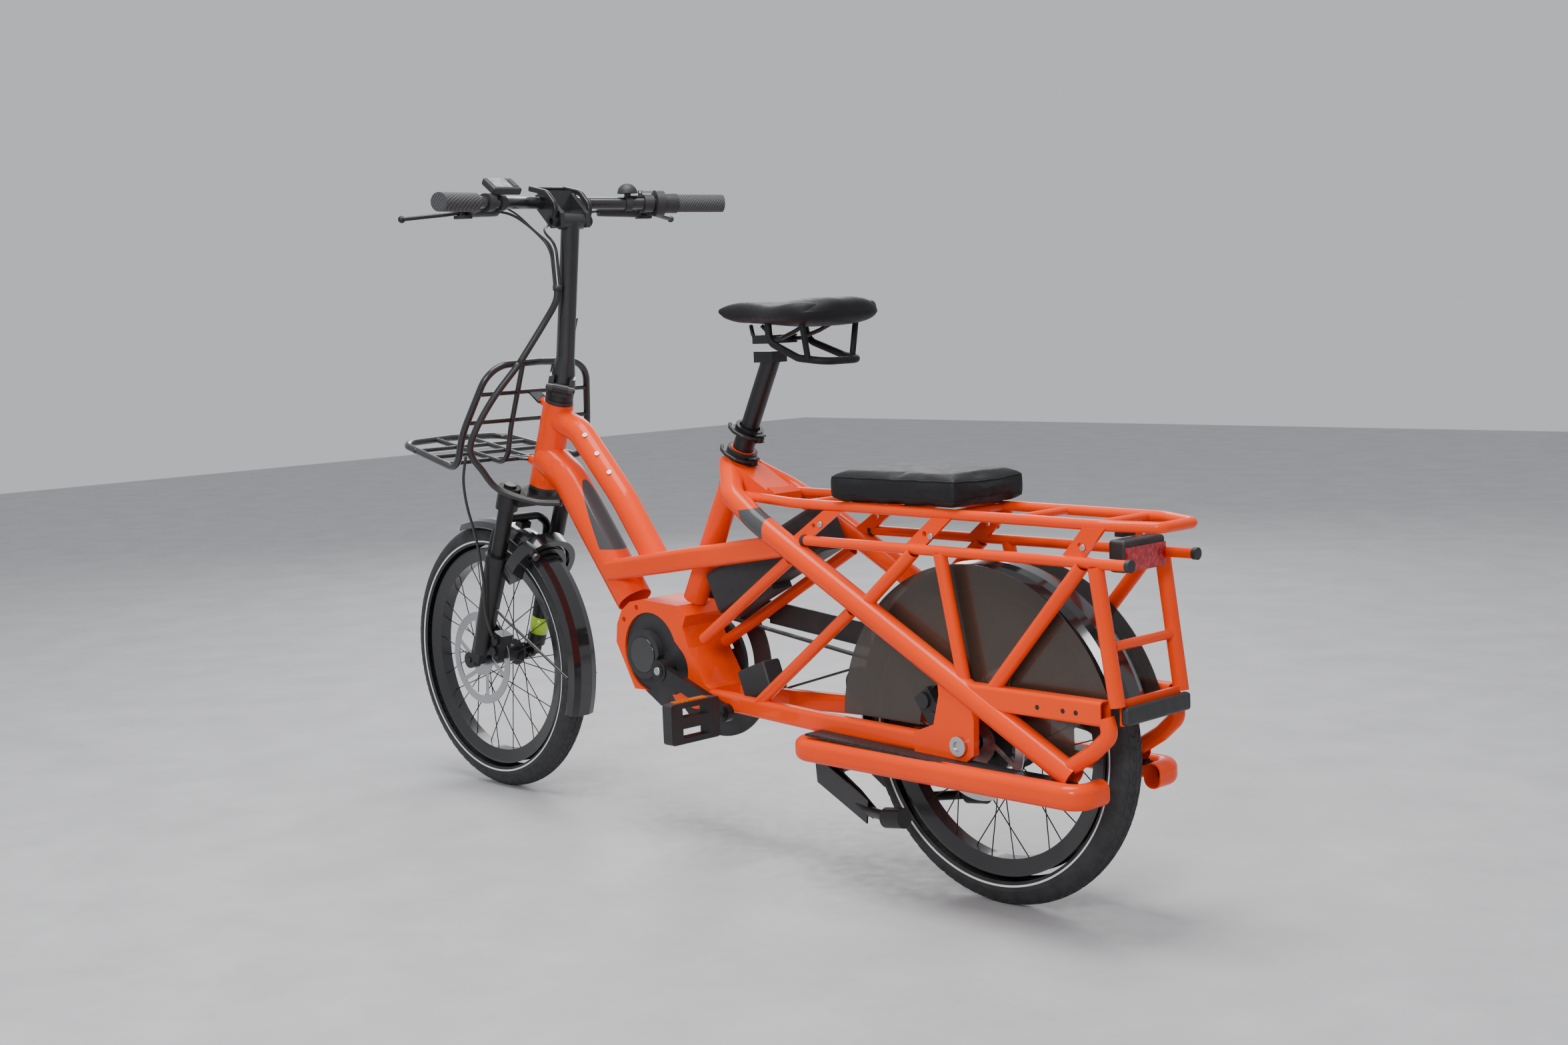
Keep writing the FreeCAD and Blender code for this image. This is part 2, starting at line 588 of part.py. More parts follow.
def make_rear_wheel_area(chain_outers, stays_outer, boxes):
    """Rear wheel, its cog, caliper, covers and mudguard."""
    make_wheel("rear", REAR_AXLE, 50, 56, 34, 44, 50, 8.05)
    cog = ring(REAR_AXLE, COG_RADIUS - BELT_FACE - GAP, 8.05, BELT_Y - 6, BELT_Y + 6)
    add("rear_cog", cog.fuse(ring(REAR_AXLE, 20, 8.05, BELT_Y + 6, -44.3)))
    axle = rod(Vector(0, -94, AXLE_HEIGHT), Vector(0, 94, AXLE_HEIGHT), 8)
    heads = [ring(REAR_AXLE, 15, 8, 90, 97), ring(REAR_AXLE, 15, 8, -97, -90)]
    add("frame_fasteners", axle, heads)

    fender = fender_shell(REAR_AXLE, 266, -4, 188, 32)
    add("rear_fender", fender)

    edge = 268.0
    front_foot = 272.0
    for s in SIDES:
        cover = disc(REAR_AXLE, edge, 59.2, 60.8)
        floor = plate([(-300, 0), (-300, 232), (-172, 262), (-70, 276), (100, front_foot), (280, front_foot),
                       (320, 0)], 50, 70)
        notch = disc(Vector(22, 0, 268), 84, 50, 70)
        cover = cover.cut(floor).cut(notch)
        cover = cover if s > 0 else mirrored(cover)
        add("wheel_covers", coped(cover, chain_outers + stays_outer + boxes))
    caliper = block(Vector(76, 55, 300), Vector(0.6, 0, 0.8), Vector(-0.8, 0, 0.6), 62, 30, 34)
    slot = ring(REAR_AXLE, 92, 20, 49, 53)
    pots = [disc(Vector(76 + 14 * k, 0, 300 + 18 * k), 12, 69, 76) for k in (-0.75, 0.75)]
    add("frame_fittings", fused([caliper.cut(slot)] + pots))


def make_front_wheel_area():
    """Fork, front wheel, mudguard, brake caliper and ring lock."""
    top = -HEAD_LENGTH
    steerer = rod(fork(12), fork(top - 20), STEERER_RADIUS)
    race = rod(fork(6.5), fork(14), 27)
    crown = [race, steerer]
    bridge = block(fork(24, 6), Y, HEAD_UP, 2 * LEG_SIDE, 44, 22)
    crown.append(bridge)
    for s in SIDES:
        crown.append(rod(fork(5, LEG_FORE, s * LEG_SIDE), fork(50, LEG_FORE, s * LEG_SIDE), 21))
        crown.append(rod(fork(0, LEG_FORE, s * LEG_SIDE), fork(5, LEG_FORE, s * LEG_SIDE), 12))
        crown.append(rod(fork(40, LEG_FORE, s * LEG_SIDE), fork(300, LEG_FORE, s * LEG_SIDE), 15))
    collar = rod(fork(top - 8), fork(top - 36), 25).cut(rod(fork(top), fork(top - 40), STEERER_RADIUS))
    crown.append(collar)
    crown.append(knuckle_web())
    add("fork_crown", fused(crown))

    legs = []
    web_low = fork(AXLE_DOWN, AXLE_FORE)
    for s in SIDES:
        start = fork(150, LEG_FORE, s * LEG_SIDE)
        end = fork(352, LEG_FORE, s * LEG_SIDE)
        legs.append(cone(start, end, 23, 16.5))
        legs.append(rod(fork(146, LEG_FORE, s * LEG_SIDE), fork(162, LEG_FORE, s * LEG_SIDE), 24.5))
        foot = block(fork(352, 22, s * 66), HEAD_UP, HEAD_FORE, 44, 18, 26)
        boss = disc(web_low, 16, 57, 75)
        legs += [foot, boss if s > 0 else mirrored(boss)]
    arch_half = [fork(168, 40, 66), fork(104, 42, 60), fork(86, 43, 34), fork(86, 43, 0)]
    arch = bent_bar(arch_half, 8, [30, 20])
    legs += [arch, mirrored(arch)]
    lowers = fused(legs)
    for s in SIDES:
        lowers = lowers.cut(rod(fork(60, LEG_FORE, s * LEG_SIDE), fork(345, LEG_FORE, s * LEG_SIDE),
                                15 + RUNNING))
    lowers = lowers.cut(rod(web_low - Y * 80, web_low + Y * 80, 6))
    add("fork_lowers", lowers)
    add("fork_lowers", rod(web_low - Y * 78, web_low + Y * 77, 6))

    caliper = block(fork(322, -19, 50), HEAD_UP, HEAD_FORE, 50, 27, 26)
    slot = ring(FRONT_AXLE, 92, 20, 42.4, 47.2)
    pots = [rod(fork(322 + k, -19, 63), fork(322 + k, -19, 69), 9.5) for k in (-12, 12)]
    mount = block(fork(322, -3, 58), HEAD_UP, HEAD_FORE, 30, 8, 20)
    add("fork_lowers", largest(fused([caliper.cut(slot), mount] + pots).cut(lowers)))

    make_wheel("front", FRONT_AXLE, 17, 26, 36, 55, 43.8, 6.05)
    fender = fender_shell(FRONT_AXLE, 266, 74, 126, 31)
    hanger = block(fork(99, 40), Y, HEAD_UP, 22, 20, 12)
    fender = fender.fuse(hanger.cut(arch.fuse(mirrored(arch))))
    rods = []
    for s in SIDES:
        rods.append(bent_bar([fork(250, 2, s * 66), fork(262, -40, s * 60), fork(304, -205, s * 33)], 2.6, 40))
    stays = [largest(r.cut(lowers)) for r in rods]
    add("front_fender", fender, stays)
    make_lock()


LOCK_ANGLE = 127.0
LOCK_RING = 56.0


def make_lock():
    """Ring lock on the fork: a half-round case over the mudguard and a bolt that slides round in it."""
    out = Vector(math.cos(math.radians(LOCK_ANGLE)), 0, math.sin(math.radians(LOCK_ANGLE)))
    back = Vector(-out.z, 0, out.x)
    centre = FRONT_AXLE + out * (TYRE_RADIUS - TYRE_WIDTH / 2)

    def polar(degrees, radius, depth=0.0):
        angle = math.radians(degrees)
        return centre + Y * (radius * math.cos(angle)) + out * (radius * math.sin(angle)) + back * depth

    def arc_bar(start, end, radius, bar):
        middle = (start + end) / 2
        path = Part.Wire([Part.Arc(polar(start, radius), polar(middle, radius), polar(end, radius)).toShape()])
        way = polar(start + 0.01, radius) - polar(start, radius)
        section = Part.Wire([Part.makeCircle(bar, polar(start, radius), way)])
        return path.makePipeShell([section], True, False)

    case = Part.Wire([Part.Arc(polar(-22, 72, -13), polar(90, 72, -13), polar(202, 72, -13)).toShape(),
                      Part.LineSegment(polar(202, 72, -13), polar(202, 43, -13)).toShape(),
                      Part.Arc(polar(202, 43, -13), polar(90, 43, -13), polar(-22, 43, -13)).toShape(),
                      Part.LineSegment(polar(-22, 43, -13), polar(-22, 72, -13)).toShape()])
    case = Part.Face(case).extrude(back * 26)
    channel = arc_bar(-24, 204, LOCK_RING, 5.2)
    slot = Part.Wire([Part.Arc(polar(36, 59.5, 0), polar(120, 59.5, 0), polar(203, 59.5, 0)).toShape(),
                      Part.LineSegment(polar(203, 59.5, 0), polar(203, 52.5, 0)).toShape(),
                      Part.Arc(polar(203, 52.5, 0), polar(120, 52.5, 0), polar(36, 52.5, 0)).toShape(),
                      Part.LineSegment(polar(36, 52.5, 0), polar(36, 59.5, 0)).toShape()])
    slot = Part.Face(slot).extrude(back * 20)
    add("wheel_lock", case.cut(channel).cut(slot))
    bolt_bar = arc_bar(46, 196, LOCK_RING, 4.4)
    stem = rod(polar(50, LOCK_RING, 0), polar(50, LOCK_RING, 17), 3)
    knob = rod(polar(50, LOCK_RING, 14), polar(50, LOCK_RING, 21), 8)
    add("lock_bolt", fused([bolt_bar, stem, knob]))
    FRAME_INFO["lock"] = (centre, back)


FRAME_INFO = {}

# ---------------------------------------------------------------- folding handlebar post
PLANE_DOWN = -HEAD_LENGTH - 36.0
PIN_OUT = 29.0
PIN_AZIMUTH = 45.0
PIN_RADIUS = 4.0
KNUCKLE_RADIUS = 9.0
POST_TOP = Vector(981, 0, 1082)
BAR_MIDDLE = Vector(1022, 0, 1117)
BAR_BEND_SIDE = 70.0
BAR_END = Vector(925, BAR_HALF_WIDTH, 1112)
BAR_RADIUS = 11.0


def pin_frame():
    """Centre of the folding pin, its direction, and the way outward from the post."""
    level = Vector(math.cos(math.radians(PIN_AZIMUTH)), math.sin(math.radians(PIN_AZIMUTH)), 0)
    pin = (level - HEAD_UP * level.dot(HEAD_UP)).normalize()
    out = HEAD_UP.cross(pin).normalize()
    return fork(PLANE_DOWN) + out * PIN_OUT, pin, out


def knuckle_web():
    """Middle knuckle of the folding hinge with its pin, carried by the steerer collar."""
    centre, pin, out = pin_frame()
    knuckle = rod(centre - pin * 14, centre + pin * 14, KNUCKLE_RADIUS)
    web = block(centre - out * 14 - HEAD_UP * 9.5, pin, HEAD_UP, 28, 30, 12)
    shaft = rod(centre - pin * 27, centre + pin * 27, PIN_RADIUS)
    return fused([knuckle, web, shaft])


def make_handlepost():
    """Folding post: a forged foot with two hinge ears, the round post and its cross head."""
    centre, pin, out = pin_frame()
    foot = fork(PLANE_DOWN - GAP)
    shoulder = Vector(1016, 0, 838)
    post_axis = (POST_TOP - shoulder).normalize()
    base = Part.Wire([Part.makeCircle(25, foot, HEAD_UP)])
    neck = Part.Wire([Part.makeCircle(17, shoulder, post_axis)])
    forging = Part.makeLoft([base, neck], True)
    ears = []
    for s in SIDES:
        ear = rod(centre + pin * (s * 14.3), centre + pin * (s * 24), 8)
        arm = block(centre + pin * (s * 19.1) - out * 10 + HEAD_UP * 11, pin, HEAD_UP, 9.6, 22, 20)
        ears += [ear, arm]
    post = rod(shoulder, POST_TOP, 17)
    barrel = rod(POST_TOP - Y * 24, POST_TOP + Y * 24, 15)
    below = block(fork(PLANE_DOWN + 30), pin, HEAD_UP, 120, 120, 60)
    room = rod(centre - pin * 14.3, centre + pin * 14.3, KNUCKLE_RADIUS + GAP)
    forging = fused([forging, post, barrel] + ears[1::2]).cut(below).cut(room)
    solid = fused([forging, ears[0], ears[2]])
    solid = solid.cut(rod(centre - pin * 40, centre + pin * 40, PIN_RADIUS + RUNNING))
    solid = solid.cut(rod(POST_TOP - Y * 40, POST_TOP + Y * 40, 6))
    catch = block(foot - out * 24 + HEAD_UP * 26, pin, HEAD_UP, 26, 12, 30)
    solid = fused([solid, catch])
    pivot = foot - out * 24 + HEAD_UP * 34
    solid = solid.cut(rod(pivot - pin * 14, pivot + pin * 14, 2.5 + RUNNING))
    gap = block(pivot - out * 7, pin, HEAD_UP, 16.0, 34, 44)
    solid = largest(solid.cut(gap))
    add("handlepost", solid)
    lever = [rod(pivot - pin * 7, pivot + pin * 7, 6), rod(pivot - pin * 11, pivot + pin * 11, 2.5)]
    tip = pivot - out * 16 + HEAD_UP * 84
    bend = pivot - out * 14 + HEAD_UP * 14
    lever.append(beam([pivot, bend, tip], 8, 12, 3, 12))
    add("handlepost_lever", fused(lever))
    FRAME_INFO["pin"] = (centre, pin)
    FRAME_INFO["latch"] = (pivot, pin)


def along_bar(distance, side, out=0.0, up=0.0):
    """Point on the swept part of the handlebar, a distance past its bend, then forward and up."""
    bend = Vector(BAR_MIDDLE.x, BAR_BEND_SIDE, BAR_MIDDLE.z)
    way = (BAR_END - bend).normalize()
    fore = Vector(way.y, -way.x, 0).normalize()
    point = bend + way * distance + fore * out + Z * up
    return Vector(point.x, side * point.y, point.z)


def bar_way(side):
    bend = Vector(BAR_MIDDLE.x, BAR_BEND_SIDE, BAR_MIDDLE.z)
    way = (BAR_END - bend).normalize()
    return Vector(way.x, side * way.y, way.z)


def make_cockpit():
    """Stem, its two cam levers, handlebar, grips, brake levers, shifter, display, bell and cables."""
    clamp_half = 24.3
    cheeks = []
    for s in SIDES:
        cheek = plate([(POST_TOP.x - 15, POST_TOP.z - 12), (POST_TOP.x + 16, POST_TOP.z - 12),
                       (BAR_MIDDLE.x + 17, BAR_MIDDLE.z - 8), (BAR_MIDDLE.x + 17, BAR_MIDDLE.z + 15),
                       (BAR_MIDDLE.x - 14, BAR_MIDDLE.z + 18), (POST_TOP.x - 15, POST_TOP.z + 14)],
                      clamp_half, clamp_half + 9)
        cheeks.append(cheek if s > 0 else mirrored(cheek))
    saddle_block = block(BAR_MIDDLE + Vector(2, 0, 4), Y, Z, 2 * clamp_half + 4, 34, 36)
    shaft = rod(POST_TOP - Y * 38, POST_TOP + Y * 38, 6 - RUNNING)
    stem = fused(cheeks + [saddle_block])
    stem = stem.cut(rod(POST_TOP - Y * (clamp_half - 0.1), POST_TOP + Y * (clamp_half - 0.1), 15.6))
    stem = stem.fuse(shaft)
    stem = stem.cut(rod(BAR_MIDDLE - Y * 60, BAR_MIDDLE + Y * 60, BAR_RADIUS))
    add("stem", largest(stem))
    levers = []
    for s in SIDES:
        side = s * (clamp_half + 14.6)
        route = [POST_TOP + Vector(0, side, 0), POST_TOP + Vector(-10, side, 26),
                 POST_TOP + Vector(16, side, 52), BAR_MIDDLE + Vector(22, side, 27)]
        eye = rod(POST_TOP + Y * (side - 4.8), POST_TOP + Y * (side + 4.8), 10)
        arm = beam(route, 9, 10, 3, 26)
        shape = eye.fuse(arm).cut(rod(POST_TOP - Y * 60, POST_TOP + Y * 60, 6))
        shape = shape.cut(rod(BAR_MIDDLE - Y * 80, BAR_MIDDLE + Y * 80, BAR_RADIUS + GAP))
        levers.append(largest(shape))
    bridge = rod(BAR_MIDDLE + Vector(22, -clamp_half - 12, 27), BAR_MIDDLE + Vector(22, clamp_half + 12, 27), 3.5)
    add("stem_levers", fused(levers + [bridge]))

    left_half = [BAR_MIDDLE, Vector(BAR_MIDDLE.x, BAR_BEND_SIDE, BAR_MIDDLE.z), BAR_END]
    bar = bent_bar([along_bar(246, -1), along_bar(0, -1), along_bar(0, 1), along_bar(246, 1)], BAR_RADIUS, 40)
    add("handlebar", bar)
    for s in SIDES:
        start = 163 if s > 0 else 178
        way = bar_way(s)
        grip = rod(along_bar(start, s), along_bar(270, s), 16.5)
        add("grips", grip.cut(rod(along_bar(start, s) - way * 5, along_bar(246, s), BAR_RADIUS)))

    fittings = []
    for s in SIDES:
        way = bar_way(s)
        clamp = rod(along_bar(112, s), along_bar(130, s), 16)
        neck = block((along_bar(121, s) + along_bar(121, s, 34, -10)) / 2,
                     (along_bar(121, s, 34, -10) - along_bar(121, s)).normalize(), Z, 36, 16, 16)
        body = rod(along_bar(36, s, 40, -12), along_bar(122, s, 44, -14), 10)
        fork_ear = block(along_bar(128, s, 48, -15), way, Z, 26, 22, 22)
        solid = fused([clamp, neck, body, fork_ear])
        pivot = along_bar(130, s, 50, -15)
        slot = block(along_bar(139, s, 52, -15), way, Z, 40, 40, 10.6)
        solid = solid.cut(slot).cut(rod(pivot - Z * 20, pivot + Z * 20, 3 + RUNNING))
        solid = largest(solid.cut(rod(along_bar(90, s), along_bar(150, s), BAR_RADIUS)))
        fittings.append(solid)
        tip = Vector(1060, s * 308, 1090)
        knee = along_bar(158, s, 62, -18)
        blade = beam([pivot, knee, tip], 12, 7, 3, 40)
        lever = fused([rod(pivot - Z * 5, pivot + Z * 5, 8), blade, rod(pivot - Z * 11, pivot + Z * 11, 3),
                       Part.makeSphere(6.5, tip)])
        add("left_brake_lever" if s > 0 else "right_brake_lever", lever)
        FRAME_INFO["lever" + str(s)] = (pivot, Z)

    housing = rod(along_bar(134, -1), along_bar(150, -1), 24)
    housing = housing.cut(rod(along_bar(120, -1), along_bar(160, -1), BAR_RADIUS))
    fittings.append(housing)
    barrel = rod(along_bar(150.4, -1), along_bar(177, -1), 18.5)
    barrel = barrel.cut(rod(along_bar(140, -1), along_bar(190, -1), BAR_RADIUS + RUNNING))
    add("twist_shifter", barrel)
    FRAME_INFO["shifter"] = (along_bar(164, -1), bar_way(-1))

    bell_base = rod(along_bar(76, -1), along_bar(88, -1), 14).cut(
        rod(along_bar(60, -1), along_bar(100, -1), BAR_RADIUS))
    bell_stand = rod(along_bar(82, -1, 0, 13.5), along_bar(82, -1, 0, 19), 6)
    dome_low = along_bar(82, -1, 0, 18)
    dome = Part.makeSphere(19, dome_low, Z, 0, 90, 360)
    fittings.append(fused([bell_base, bell_stand, dome]))
    striker_pivot = along_bar(107, -1, 0, 22)
    post = rod(striker_pivot - Z * 9, striker_pivot + Z * 2, 2.4)
    base = block(along_bar(98, -1, 0, 12.5), bar_way(-1), Z, 26, 10, 3)
    fittings[-1] = fused([fittings[-1], base, rod(striker_pivot - Z * 9, striker_pivot - Z * 4, 4)])
    fittings[-1] = fused([fittings[-1], post])
    arm = fused([sleeve(striker_pivot - Z * 3.7, striker_pivot + Z * 1, 4.5, 2.4 + RUNNING),
                 block(striker_pivot + bar_way(-1) * 14 - Z * 1.3, bar_way(-1), Z, 20, 6, 4)])
    add("bell_striker", arm)
    FRAME_INFO["striker"] = (striker_pivot, Z)

    face_up = Vector(-0.55, 0, 0.83).normalize()
    face_along = Vector(face_up.z, 0, -face_up.x)
    middle = along_bar(82, 1, -6, 28)
    case = block(middle, Y, face_up, 62, 40, 14)
    case = case.makeFillet(4, case.Edges)
    strap = rod(along_bar(76, 1), along_bar(90, 1), 15)
    key_hole = block(middle + face_up * 6 - Y * 22, face_along, face_up, 22.6, 10.6, 6)
    housing = fused([case, strap]).cut(rod(along_bar(60, 1), along_bar(110, 1), BAR_RADIUS)).cut(key_hole)
    fittings.append(housing)
    key = block(middle + face_up * 5.8 - Y * 22, face_along, face_up, 22, 10, 4)
    add("display_key", key)
    FRAME_INFO["key"] = (middle, face_up)
    add("bar_fittings", fittings)
    make_cables()


def make_cables():
    """Hoses and wires: along the bar to the post, in a loop past the rack, and down to the caliper."""
    clip = Vector(994, 27, 959)
    merge = Vector(996, 30, 1036)
    hoses = []
    offsets = ((1, Vector(4, 3, 0)), (-1, Vector(-2, -4, 0)))
    for s, lean in offsets:
        start = along_bar(35.5, s, 40, -12)
        if s > 0:
            route = [start, Vector(1052, 74, 1098), Vector(1030, 50, 1072), merge + lean, clip + lean + Z * 4]
        else:
            route = [start, Vector(1062, -62, 1098), Vector(1062, -10, 1080), Vector(1032, 24, 1066),
                     merge + lean + Z * 6, clip + lean + Z * 4]
        hoses.append(bent_bar(route, 2.6))
    display_wire = [along_bar(76, 1, 16, 2), Vector(1018, 92, 1098), Vector(1012, 58, 1066),
                    merge + Vector(-3, 5, 4), clip + Vector(-3, 5, 4)]
    hoses.append(bent_bar(display_wire, 1.8))
    add("bar_cables", hoses)
    route = [clip, Vector(1028, 38, 905), Vector(1050, 80, 829), Vector(1080, 122, 766),
             Vector(1106, 148, 706), Vector(1119, 150, 669), Vector(1115, 130, 636),
             Vector(1104, 102, 598), Vector(1057, 60, 574), Vector(1016, 23, 569)]
    add("steering_harness", bent_bar(route, HARNESS_RADIUS))
    hose = [Vector(1120, 160, 664), Vector(1140, 156, 620), Vector(1162, 136, 570), Vector(1180, 104, 500),
            fork(200, 8, 94), fork(250, -4, 92), fork(292, -19, 80), fork(306, -19, 69.2)]
    add("front_brake_hose", bent_bar(hose, 2.6))


HARNESS_RADIUS = 6.5


def make_seat():
    """Telescoping seat post, its clamps with cam levers, and the saddle."""
    lower = sleeve(seat(-17), seat(-1), 26, SEAT_TUBE_RADIUS)
    lug = block(seat(-9, 27), Y, SEAT_DOWN * -1, 22, 14, 14)
    lower = fused([lower, lug]).cut(rod(seat(-30), seat(10), SEAT_TUBE_RADIUS))
    add("frame_fittings", cam_seat(lower, -9, 33))
    body = sleeve(seat(-188), seat(38), SLEEVE_RADIUS, POST_RADIUS + RUNNING)
    upper = fused([sleeve(seat(26), seat(42), 24, SLEEVE_RADIUS), block(seat(34, 25), Y, SEAT_DOWN * -1, 22, 14, 14)])
    upper = upper.cut(rod(seat(20), seat(60), SLEEVE_RADIUS))
    add("seat_sleeve", body, cam_seat(upper, 34, 31))
    for name, height, back, reach in (("lower_cam_lever", -9, 33, 35), ("upper_cam_lever", 34, 31, 33)):
        pivot = seat(height, back)
        up = SEAT_DOWN * -1
        hub = rod(pivot - up * 4, pivot + up * 4, 6.5)
        steps = [seat(height, back, 4)]
        for degrees in (32, 60, 90, 118, 142):
            angle = math.radians(degrees)
            steps.append(seat(height, reach * math.cos(angle), reach * math.sin(angle)))
        blade = bent_bar(steps, 3.4, 12)
        pin = rod(pivot - up * 6.8, pivot + up * 6.8, 2.5)
        add(name, fused([hub, blade, pin]))
    post = rod(seat(-108), seat(170), POST_RADIUS)
    head = block(seat(168) + Vector(2, 0, 4), X, Z, 44, 34, 18)
    rails = []
    for s in SIDES:
        rails.append(bent_bar([Vector(500, s * 12, 884), Vector(484, s * 22, 864), Vector(420, s * 24, 862),
                               Vector(380, s * 28, 874), Vector(350, s * 30, 886)], 3.5, 30))
    yoke = block(Vector(457, 0, 862), X, Z, 42, 62, 14)
    clamp = fused([post, head, yoke] + rails)
    add("seatpost", clamp)
    make_saddle()


def cam_seat(shape, height, back):
    """Cut the lever's slot and pin hole into a clamp."""
    up = SEAT_DOWN * -1
    pivot = seat(height, back)
    slot = block(pivot + Y * 8 + (pivot - seat(height)).normalize() * 4, Y, up, 42, 28, 9.6)
    return largest(shape.cut(slot).cut(rod(pivot - up * 12, pivot + up * 12, 2.5 + RUNNING)))


def make_saddle():
    """Padded saddle as a lofted body, with the grab loop under its tail."""
    stations = ((572, 18, 905, 914, 8), (540, 24, 892, 922, 14), (480, 36, 889, 922, 16),
                (420, 62, 888, 918, 16), (360, 88, 890, 918, 16), (315, 90, 892, 920, 14),
                (292, 60, 896, 914, 8))
    wires = []
    for x, half, low, high, corner in stations:
        corner = min(corner, (high - low) / 2 - 0.2)
        middle = Vector(x, 0, (low + high) / 2)
        wires.append(rounded_rectangle(middle, Y, Z, 2 * half, high - low, corner))
    body = Part.makeLoft(wires, True)
    loop = bent_bar([Vector(430, 40, 893), Vector(424, 44, 858), Vector(350, 52, 832), Vector(302, 40, 826),
                     Vector(302, -40, 826), Vector(350, -52, 832), Vector(424, -44, 858),
                     Vector(430, -40, 893)], 6, 26)
    hangers = [rod(Vector(330, s * 50, 829), Vector(330, s * 62, 894), 5) for s in SIDES]
    rails = [bent_bar([Vector(500, s * 12, 884), Vector(484, s * 22, 864), Vector(420, s * 24, 862),
                       Vector(380, s * 28, 874), Vector(350, s * 30, 886)], 3.5 + 0.0, 30) for s in SIDES]
    solid = fused([body, loop] + hangers)
    for rail in rails:
        solid = solid.cut(rail)
    add("saddle", largest(solid))


def make_cranks():
    """Crankset with its axle and belt pulley, and the two pedals."""
    reach = CRANK_LENGTH * math.cos(math.radians(199.0))
    rise = CRANK_LENGTH * math.sin(math.radians(199.0))
    axle = rod(CRANK - Y * 80, CRANK + Y * 80, AXLE_RADIUS)
    pulley = ring(CRANK, PULLEY_RADIUS - BELT_FACE - GAP, 66, BELT_Y - 6, BELT_Y + 6)
    spider = [ring(CRANK, 26, 5, BELT_Y - 4, BELT_Y + 4)]
    for k in range(5):
        angle = math.radians(72 * k + 20)
        way = Vector(math.cos(angle), 0, math.sin(angle))
        spider.append(block(Vector(CRANK.x, BELT_Y, CRANK.z) + way * 46, way, Y, 50, 20, 6))
    parts = [axle, pulley] + spider
    ends = {}
    for s in SIDES:
        end = Vector(CRANK.x + s * reach, s * 71, CRANK.z + s * rise)
        start = Vector(CRANK.x, s * 71, CRANK.z)
        way = (end - start).normalize()
        arm = block((start + end) / 2, way, Y, CRANK_LENGTH, 24, 13)
        parts += [arm, disc(start, 19, min(s * 61, s * 79), max(s * 61, s * 79)),
                  disc(end, 15, min(s * 64.5, s * 77.5), max(s * 64.5, s * 77.5))]
        ends[s] = end
    cranks = fused(parts)
    for s in SIDES:
        cranks = cranks.cut(rod(ends[s] - Y * 30, ends[s] + Y * 30, 6 + RUNNING))
    add("crankset", cranks)
    for s in SIDES:
        end = ends[s]
        centre = Vector(end.x, s * 146, end.z)
        frame = block(centre, Y, X, 106, 68, 22)
        frame = frame.makeFillet(6, [e for e in frame.Edges if abs(e.Length - 22) < 0.1])
        window = block(centre + Z * 17, Y, X, 56, 16, 30).fuse(block(centre - Z * 17, Y, X, 56, 16, 30))
        spindle = rod(Vector(end.x, s * 64.5, end.z), Vector(end.x, s * 120, end.z), 6)
        hub = rod(Vector(end.x, s * 86, end.z), Vector(end.x, s * 94, end.z), 10)
        add("left_pedal" if s > 0 else "right_pedal", fused([frame.cut(window), spindle, hub]))
        FRAME_INFO["pedal" + str(s)] = end


STAND_PIVOT = Vector(326, 0, 170)


def make_stand():
    """Double-leg centre stand, shown folded up behind its mount."""
    mount = plate([(300, 200), (360, 200), (360, 172), (338, 156), (314, 156), (300, 172)], -34, 34)
    slot = plate([(290, 188), (350, 188), (350, 140), (290, 140)], -24, 24)
    mount = mount.cut(slot).cut(disc(STAND_PIVOT, 5 + RUNNING, -60, 60))
    cross = block(Vector(330, 0, 222), Y, Z, 124, 36, 14)
    bridge = block(Vector(330, 0, 208), Y, Z, 60, 36, 17)
    add("frame_fittings", fused([mount, cross, bridge]))
    shaft = rod(STAND_PIVOT - Y * 52, STAND_PIVOT + Y * 52, 5)
    barrel = rod(STAND_PIVOT - Y * 23, STAND_PIVOT + Y * 23, 12)
    pieces = [shaft, barrel]
    for s in SIDES:
        cheek = plate([(336, 184), (336, 156), (290, 128), (224, 104), (214, 118), (250, 146), (300, 176)], 46, 50)
        leg = bent_bar([Vector(262, 52, 132), Vector(226, 58, 118), Vector(140, 96, 128)], 8, 20)
        foot = rod(Vector(150, 96, 127), Vector(112, 96, 132), 16)
        gusset = block(Vector(262, 50, 132), X, Z, 30, 10, 18)
        side = fused([cheek, leg, gusset, foot])
        pieces.append(side if s > 0 else mirrored(side))
    add("kickstand", fused(pieces))


